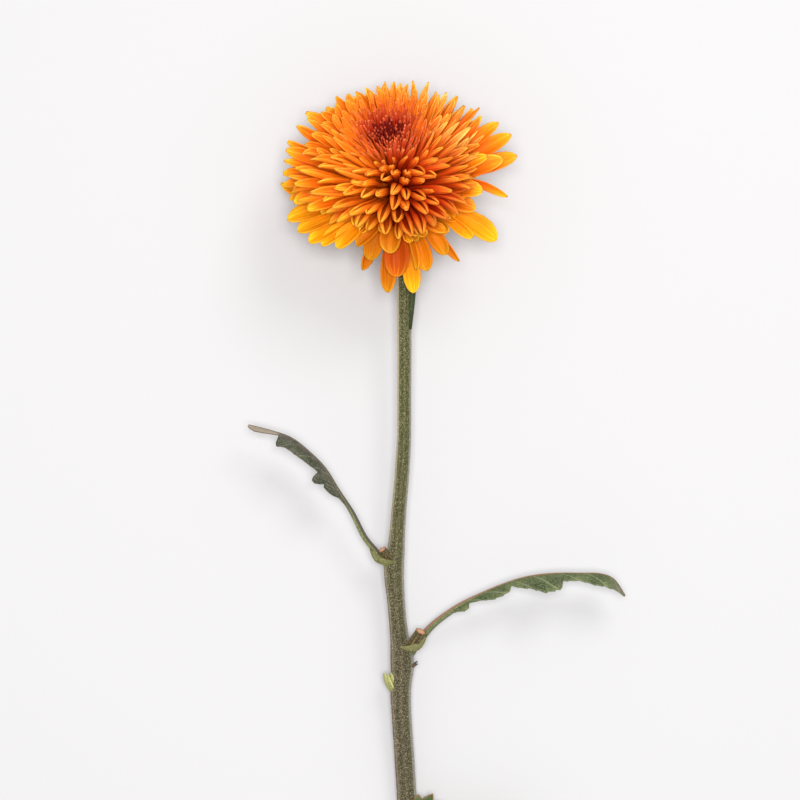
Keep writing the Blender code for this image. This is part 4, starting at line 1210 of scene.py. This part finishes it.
RIGHT_LOBES = [
    (0.20, 0.8, 0.8), (0.25, 1.4, 1.0), (0.272, 3.0, 1.2), (0.302, 5.2, 1.8), (0.322, 4.4, 2.6),
    (0.330, 1.6, 3.0), (0.362, 3.2, 4.2), (0.415, 6.2, 2.4), (0.464, 7.2, 4.0), (0.488, 6.4, 6.4),
    (0.502, 4.6, 6.6), (0.510, 2.6, 6.4), (0.529, 5.0, 6.4), (0.554, 7.2, 5.6), (0.581, 9.2, 4.8),
    (0.604, 10.8, 5.0), (0.625, 11.8, 6.2), (0.65, 12.2, 7.4), (0.675, 12.2, 8.0), (0.690, 11.4, 7.8),
    (0.702, 9.0, 7.0), (0.712, 5.0, 6.0), (0.775, 5.2, 5.0), (0.808, 6.6, 6.4), (0.842, 8.4, 7.6),
    (0.885, 8.6, 7.4), (0.913, 7.2, 6.2), (0.96, 3.8, 3.6), (1.0, 1.0, 0.8),
]
LOW_LOBES = [
    (0.13, 0.8, 0.8), (0.15, 5.0, 1.2), (0.168, 6.6, 1.6), (0.180, 3.4, 1.8), (0.190, 4.4, 2.2),
    (0.212, 8.0, 2.4), (0.228, 9.4, 2.6), (0.238, 3.0, 2.8), (0.32, 3.6, 4.0), (0.40, 5.0, 6.0),
    (0.45, 4.0, 4.0), (0.52, 9.6, 6.6), (0.58, 12.4, 9.0), (0.63, 11.6, 9.4), (0.68, 5.6, 5.0),
    (0.74, 8.0, 6.4), (0.82, 9.4, 7.4), (0.90, 7.0, 5.4), (0.96, 3.8, 3.0), (1.0, 0.5, 0.5),
]
# Midrib, lobes, the degrees each half leans over to the midrib's lower side, depths of teeth and ripples
LEAVES = {
    "leaf_left": (LEFT_MIDRIB, LEFT_LOBES, 37, 22, 0.03, 0.01),
    "leaf_right": (RIGHT_MIDRIB, RIGHT_LOBES, 36, 20, 0.10, 0.03),
    "leaf_low": (LOW_MIDRIB, LOW_LOBES, -38, 64, 0.16, 0.07),
}
BLADE_THICKNESS = 0.45
BLADE_FACES = (20, 170)        # across and along
LOBE_SWEEP = 0.15              # how far the lobes lean toward the tip
BLADE_ARCH = 0.10              # how far each half arches, as a share of its width
TEETH = 30                     # along each edge
TEETH_PER_RIPPLE = 3
HALF_SHIFT = 1.7               # radians that the ripples of one half are behind the other's
LEAF_HAIR = (168, 168, 146)
SIDE_VEINS = 8.0               # from foot to tip
VEIN_SLANT = 0.8               # how far they run forward, in side veins' spacings
# Body, pale, vein, edge and midrib of the upper side, its flush by the midrib, and its tip with the share
# of the length where it begins and is full; then the same for the under side
LEAF_TONES = {
    "leaf_left": (
        ((34, 41, 26), (74, 79, 60), (126, 127, 106), (20, 28, 14), (118, 94, 86), (86, 74, 68),
         ((150, 136, 120), 0.78, 0.82)),
        ((124, 108, 96), (152, 134, 120), (170, 152, 138), (96, 84, 66), (150, 118, 96), (124, 108, 96),
         ((150, 136, 120), 0.78, 0.82)),
    ),
    "leaf_right": (
        ((44, 60, 24), (88, 100, 58), (150, 154, 116), (100, 108, 72), (138, 100, 76), (70, 84, 44),
         ((104, 96, 84), 0.86, 1.0)),
        ((92, 104, 70), (124, 134, 98), (160, 164, 130), (110, 116, 84), (166, 128, 98), (92, 104, 70),
         ((104, 96, 84), 0.86, 1.0)),
    ),
    "leaf_low": (
        ((54, 78, 32), (92, 112, 60), (146, 152, 112), (158, 98, 52), (150, 122, 84), (64, 88, 40),
         ((150, 96, 52), 0.9, 1.0)),
        ((92, 104, 70), (124, 134, 98), (160, 164, 130), (150, 96, 52), (150, 122, 84), (92, 104, 70),
         ((150, 96, 52), 0.9, 1.0)),
    ),
}
# Low and high body tones of each leaf's stalk and the values of y in metres between which they change,
# then its ridges, grooves and flecks and the line along its upper side
STALK_TONES = {
    "leaf_left": ((116, 122, 72), (80, 72, 64), (0.016, 0.034), (150, 152, 104), (64, 68, 44),
                  (154, 154, 118), (86, 74, 68)),
    "leaf_right": ((96, 102, 68), (98, 104, 68), (-0.06, -0.04), (126, 134, 92), (64, 74, 46),
                   (146, 146, 112), (138, 100, 76)),
    "leaf_low": ((84, 104, 54), (84, 104, 54), (-0.14, -0.13), (128, 142, 88), (66, 82, 48),
                 (156, 158, 124), (138, 100, 76)),
}
STALK_RIBS = 5
STALK_RIB_DEPTH = 0.16
STALK_SHADE = ((40, 44, 26), 0.0, 0.2, 0.8, 0.0)       # dark line along the low part of a stalk


def grown_blade(name, midrib, lobes, near_lean, far_lean, tooth_depth, ripple_depth, materials):
    """Sheet of faces folded at the midrib, as wide on each side as its lobes and teeth."""
    deselect_all()
    bpy.ops.mesh.primitive_grid_add(x_subdivisions=BLADE_FACES[0], y_subdivisions=BLADE_FACES[1], size=2)
    blade = bpy.context.object
    blade.name = name
    flat = places(blade.data)
    first = lobes[0][0]
    share = first + (1 - first) * (flat[:, 1] + 1) / 2
    middle, tangents, _, _, _ = route_frame(midrib, share)
    # Level way square to the midrib, on its side toward the stem's foot, to which both halves lean
    lower = unit(np.stack([tangents[:, 1], -tangents[:, 0], np.zeros(len(flat))], axis=1))
    lower *= np.where(lower[:, 1] > 0, -1.0, 1.0)[:, None]
    reach = np.abs(flat[:, 0])
    near = flat[:, 0] > 0
    up = np.array([0.0, 0.0, 1.0])
    near_way = lower * math.sin(math.radians(near_lean)) + up * math.cos(math.radians(near_lean))
    far_way = lower * math.sin(math.radians(far_lean)) - up * math.cos(math.radians(far_lean))
    way = np.where(near[:, None], near_way, far_way)
    out = unit(way - tangents * (way * tangents).sum(axis=1)[:, None]) + tangents * LOBE_SWEEP
    rows, near_widths, far_widths = zip(*lobes)
    width = np.where(near, np.interp(share, rows, near_widths), np.interp(share, rows, far_widths))
    tooth = (share * TEETH) % 1.0
    width = width * (1 + tooth_depth * (tooth - 0.6) * reach ** 3)
    ripple = np.sin(share * 2 * math.pi * TEETH / TEETH_PER_RIPPLE + np.where(near, 0.0, HALF_SHIFT))
    bow = -(BLADE_ARCH * width * np.sin(math.pi * reach * 0.8)) + ripple_depth * width * ripple * reach ** 2
    laid = middle + out * (width * reach)[:, None] + lower * bow[:, None]
    laid[:, 2] = np.maximum(laid[:, 2], TABLE_GAP + BLADE_THICKNESS / 2)
    blade.data.vertices.foreach_set("co", (laid * MM).ravel())
    blade.data.update()
    across = BLADE_FACES[0]
    near_half = [face for face in blade.data.polygons if face.index % across >= across // 2]
    if sum(face.normal.z for face in near_half) < 0:
        bpy.ops.object.mode_set(mode="EDIT")
        bpy.ops.mesh.select_all(action="SELECT")
        bpy.ops.mesh.flip_normals()
        bpy.ops.object.mode_set(mode="OBJECT")
    cover(blade, *materials)
    thickened(blade, BLADE_THICKNESS, 0.0, 1)
    return blade


def leaf_skin(name, body, pale, vein, edge, midrib_tone, flush, tip):
    """Blade surface: a fine net of veins, with side veins that run out and forward from the midrib."""
    made, tree, shader, tone, height = green_base(name, body, pale, LEAF_HAIR, HAIR_GRAINS, 0.4)
    _, across, along = strip_place(tree)
    place = own_place(tree)
    net = shader_node(tree, "ShaderNodeTexVoronoi", {"Scale": 900.0}, {"Vector": place},
                      feature="DISTANCE_TO_EDGE").outputs["Distance"]
    slanted = sums(tree, "SUBTRACT", times(tree, along, SIDE_VEINS), times(tree, across, VEIN_SLANT))
    to_vein = sums(tree, "PINGPONG", slanted, 0.5)
    clouds = noise(tree, place, 170.0, 2.0)
    flushed = times(tree, rises(tree, across, 0.75, 0.1), rises(tree, clouds, 0.25, 0.6))
    tip_tone, tip_start, tip_full = tip
    tone = blended(tree, flushed, tone, flush)
    tone = blended(tree, rises(tree, along, tip_start, tip_full), tone, tip_tone)
    tone = blended(tree, times(tree, rises(tree, net, 0.16, 0.02), 0.24), tone, vein)
    tone = blended(tree, times(tree, rises(tree, to_vein, 0.07, 0.015), 0.45), tone, vein)
    tone = blended(tree, times(tree, rises(tree, across, 0.93, 1.0), 0.7), tone, edge)
    tone = blended(tree, rises(tree, across, 0.12, 0.02), tone, midrib_tone)
    coloured(tree, shader, tone)
    raised(tree, shader, sums(tree, "MULTIPLY_ADD", rises(tree, net, 0.02, 0.4), 0.7, height), 0.55, 0.0003)
    return made


stalk_cut = cut_face("stalk_cut", *FRESH_CUT)
for name, (midrib, lobes, *shape) in LEAVES.items():
    upper, under = LEAF_TONES[name]
    skins = [leaf_skin(name + "_upper", *upper), leaf_skin(name + "_under", *under)]
    hand_over(grown_blade(name + "_blade", midrib, lobes, *shape, skins), name)
    low, high, turn, ridge, groove, fleck, line = STALK_TONES[name]
    stalk_lines = [STALK_SHADE, (line, 0.25, 0.5, 0.9, 0.9)]
    stalk_skin = ribbed_skin(name + "_stalk", low, high, ridge, groove, fleck, stalk_lines, 0.3, turn)
    stalk = grown_tube(name + "_stalk", midrib, 20, 70, STALK_RIBS, STALK_RIB_DEPTH)
    cover(stalk, stalk_skin, stalk_cut)
    hand_over(stalk, name)

# Side-shoot stubs: what is left of the shoots that were pinched out so that one bloom takes all. Each is
# a short ribbed peg in a leaf joint with a dried salmon-pink cut face.
STUBS = {                      # root, cut end, diameter
    "shoot_stub_left": ((-18.8, -32.0, 17.6), (-21.9, -27.4, 20.2), 3.4),
    "shoot_stub_right": ((-9.8, -66.4, 16.4), (-6.5, -60.2, 19.4), 4.6),
}
STUB_SIDE = ((0.0, 1.4), (0.35, 1.2), (0.8, 1.0), (1.0, 1.0))      # share of its length and of its diameter
STUB_RIBS = 7
STUB_RIB_DEPTH = 0.16

stub_skin = ribbed_skin("stub_skin", (66, 56, 28), (66, 56, 28), (160, 140, 92), (34, 26, 12),
                        (130, 114, 72), sides=0.1)
stub_cut = cut_face("stub_cut", (124, 72, 48), (186, 132, 96), (198, 152, 118))
for name, (root, end, diameter) in STUBS.items():
    stations = [(*Vector(root).lerp(Vector(end), share), diameter * size) for share, size in STUB_SIDE]
    peg = grown_tube(name + "_peg", stations, 28, 12, STUB_RIBS, STUB_RIB_DEPTH)
    cover(peg, stub_skin, stub_cut)
    hand_over(peg, name)

# Small leafy outgrowths: a pale bud low on the left, a thorn-like bractlet under the right leaf, a narrow
# dark bract along the neck, and the ears at the feet of the leaf stalks, which hug the stem.
slim_strip = flat_strip("slim_strip", 4, [
    (0, 0.2), (0.3, 0.5), (0.55, 0.8), (0.75, 1.0), (0.88, 0.9), (0.96, 0.6), (1, 0.2),
])
ear_strip = flat_strip("ear_strip", 6, [
    (0, 0.3), (0.12, 0.46), (0.24, 0.7), (0.36, 0.94), (0.46, 1.0), (0.58, 0.9), (0.7, 0.72), (0.82, 0.56),
    (0.92, 0.4), (0.98, 0.24), (1, 0.1),
])
young_green = green_skin("young_green", (126, 128, 70), (160, 162, 100), (206, 202, 150),
                         ((200, 190, 130), 0.6))
dark_green = green_skin("bract_dark", (34, 46, 18), (54, 66, 32), (104, 108, 78), ((90, 96, 64), 0.85))
thorn_brown = green_skin("thorn_brown", (70, 54, 44), (96, 76, 62), (140, 120, 100))
ear_green = green_skin("ear_green", (64, 68, 32), (100, 99, 58), (140, 136, 92), ((158, 148, 84), 0.7),
                       1100.0, 0.7)
OUTGROWTH_THICKNESS = 0.4
STEM_MIDDLE = Vector((-14.0, 0, -6.0))     # x of the stem's middle line, and z of it below a tip beside it
# Node, slot, material, flat strip, then the root, knee, tip, width and roll of the edges of each. Edges with
# a negative roll turn under, and such a piece faces up where the others face the stem.
OUTGROWTHS = {
    "bud_scales": ("bud_left", "young_green", young_green, bract_strip, [
        ((-16.6, -85.6, 12.6), (-20.6, -83.2, 13.4), (-21.0, -77.2, 13.8), 3.2, 60),
        ((-16.6, -84.8, 13.2), (-19.8, -82.4, 14.4), (-19.6, -77.6, 14.8), 2.8, 50),
        ((-16.6, -85.8, 12.0), (-19.4, -84.4, 12.2), (-21.0, -80.0, 12.0), 2.2, 90),
        ((-16.6, -83.4, 13.6), (-18.4, -81.0, 14.8), (-18.2, -77.2, 14.6), 2.2, 60),
    ]),
    "bractlet_thorn": ("bractlet_right", "young_green", thorn_brown, bract_strip, [
        ((-12.0, -75.8, 13.4), (-9.6, -74.7, 14.0), (-8.0, -72.4, 14.6), 0.8, 130),
        ((-10.4, -75.0, 13.8), (-8.8, -74.5, 14.0), (-7.8, -73.4, 14.2), 0.5, 110),
    ]),
    "neck_leaf": ("neck_bract", "young_green", dark_green, slim_strip, [
        ((-10.6, 60.6, 25.6), (-9.6, 70.0, 27.2), (-9.0, 82.8, 26.4), 3.6, 110),
    ]),
    "leaf_ears": (None, "leaves", ear_green, ear_strip, [
        ((-26.6, -27.0, 18.8), (-24.2, -33.8, 20.4), (-16.6, -32.2, 21.4), 3.2, -50),
        ((-4.2, -61.4, 18.2), (-7.2, -68.6, 20.2), (-14.2, -66.4, 20.6), 3.6, -50),
        ((-7.6, -132.4, 8.6), (-8.8, -137.6, 10.6), (-11.8, -134.8, 11.8), 4.0, 60),
    ]),
}
for name, (node, slot, material, strip, shapes) in OUTGROWTHS.items():
    grown = []
    for root, knee, tip, width, edge_angle in shapes:
        root, knee, tip = Vector(root), Vector(knee), Vector(tip)
        stemward = (STEM_MIDDLE + Vector((0, tip.y, tip.z)) - knee).normalized()
        facing = TOP if edge_angle < 0 else stemward
        line = middle_line(root, knee, tip, facing)
        grown.append(grown_petal(strip, line, facing, width, edge_angle, 0.0, 0.5, 0.5))
    leafy = join(name, grown)
    thickened(leafy, OUTGROWTH_THICKNESS)
    cover(leafy, material)
    hand_over(leafy, node)
for strip in (slim_strip, ear_strip, bract_strip):
    bpy.data.objects.remove(strip, do_unlink=True)

# Studio: a wide pale matt table, even daylight with two soft lamps, one straight above and one beyond the
# bloom, and the camera, which looks straight down from above the middle of the stem.
TABLE_TONE = (0.542, 0.535, 0.539, 1)
DAYLIGHT = 0.6
LAMPS = {                      # place and size in metres, then power
    "overhead": ((0.0, 0.05, 1.7), 0.4, 27.0),
    "key": ((0.5, 0.9, 1.4), 0.6, 9.0),
}
LIT_SPOT = Vector((0, 0.05, 0))
CAMERA_AT = Vector((-14.8, 32.4, 1250.0))
LENS = 138.375

deselect_all()
bpy.ops.mesh.primitive_plane_add(size=6, location=(0, 0, 0))
table = bpy.context.object
table.name = "table"
table_white, _, shader = plain_material("table_white", 0.9, 0.0)
shader.inputs["Base Color"].default_value = TABLE_TONE
cover(table, table_white)

world = bpy.data.worlds.new("studio")
bpy.context.scene.world = world
world.use_nodes = True
background = world.node_tree.nodes["Background"]
background.inputs["Color"].default_value = (1, 1, 1, 1)
background.inputs["Strength"].default_value = DAYLIGHT
for name, (place, size, power) in LAMPS.items():
    lamp = bpy.data.lights.new(name, "AREA")
    lamp.size = size
    lamp.energy = power
    holder = bpy.data.objects.new(name, lamp)
    holder.location = place
    holder.rotation_euler = (LIT_SPOT - Vector(place)).to_track_quat("-Z", "Y").to_euler()
    bpy.context.scene.collection.objects.link(holder)

camera = bpy.data.objects.new("camera", bpy.data.cameras.new("camera"))
camera.location = CAMERA_AT * MM
camera.data.lens = LENS
camera.data.sensor_width = 36
camera.data.clip_end = 20
bpy.context.scene.collection.objects.link(camera)
bpy.context.scene.camera = camera
bpy.context.scene.view_settings.view_transform = "Standard"
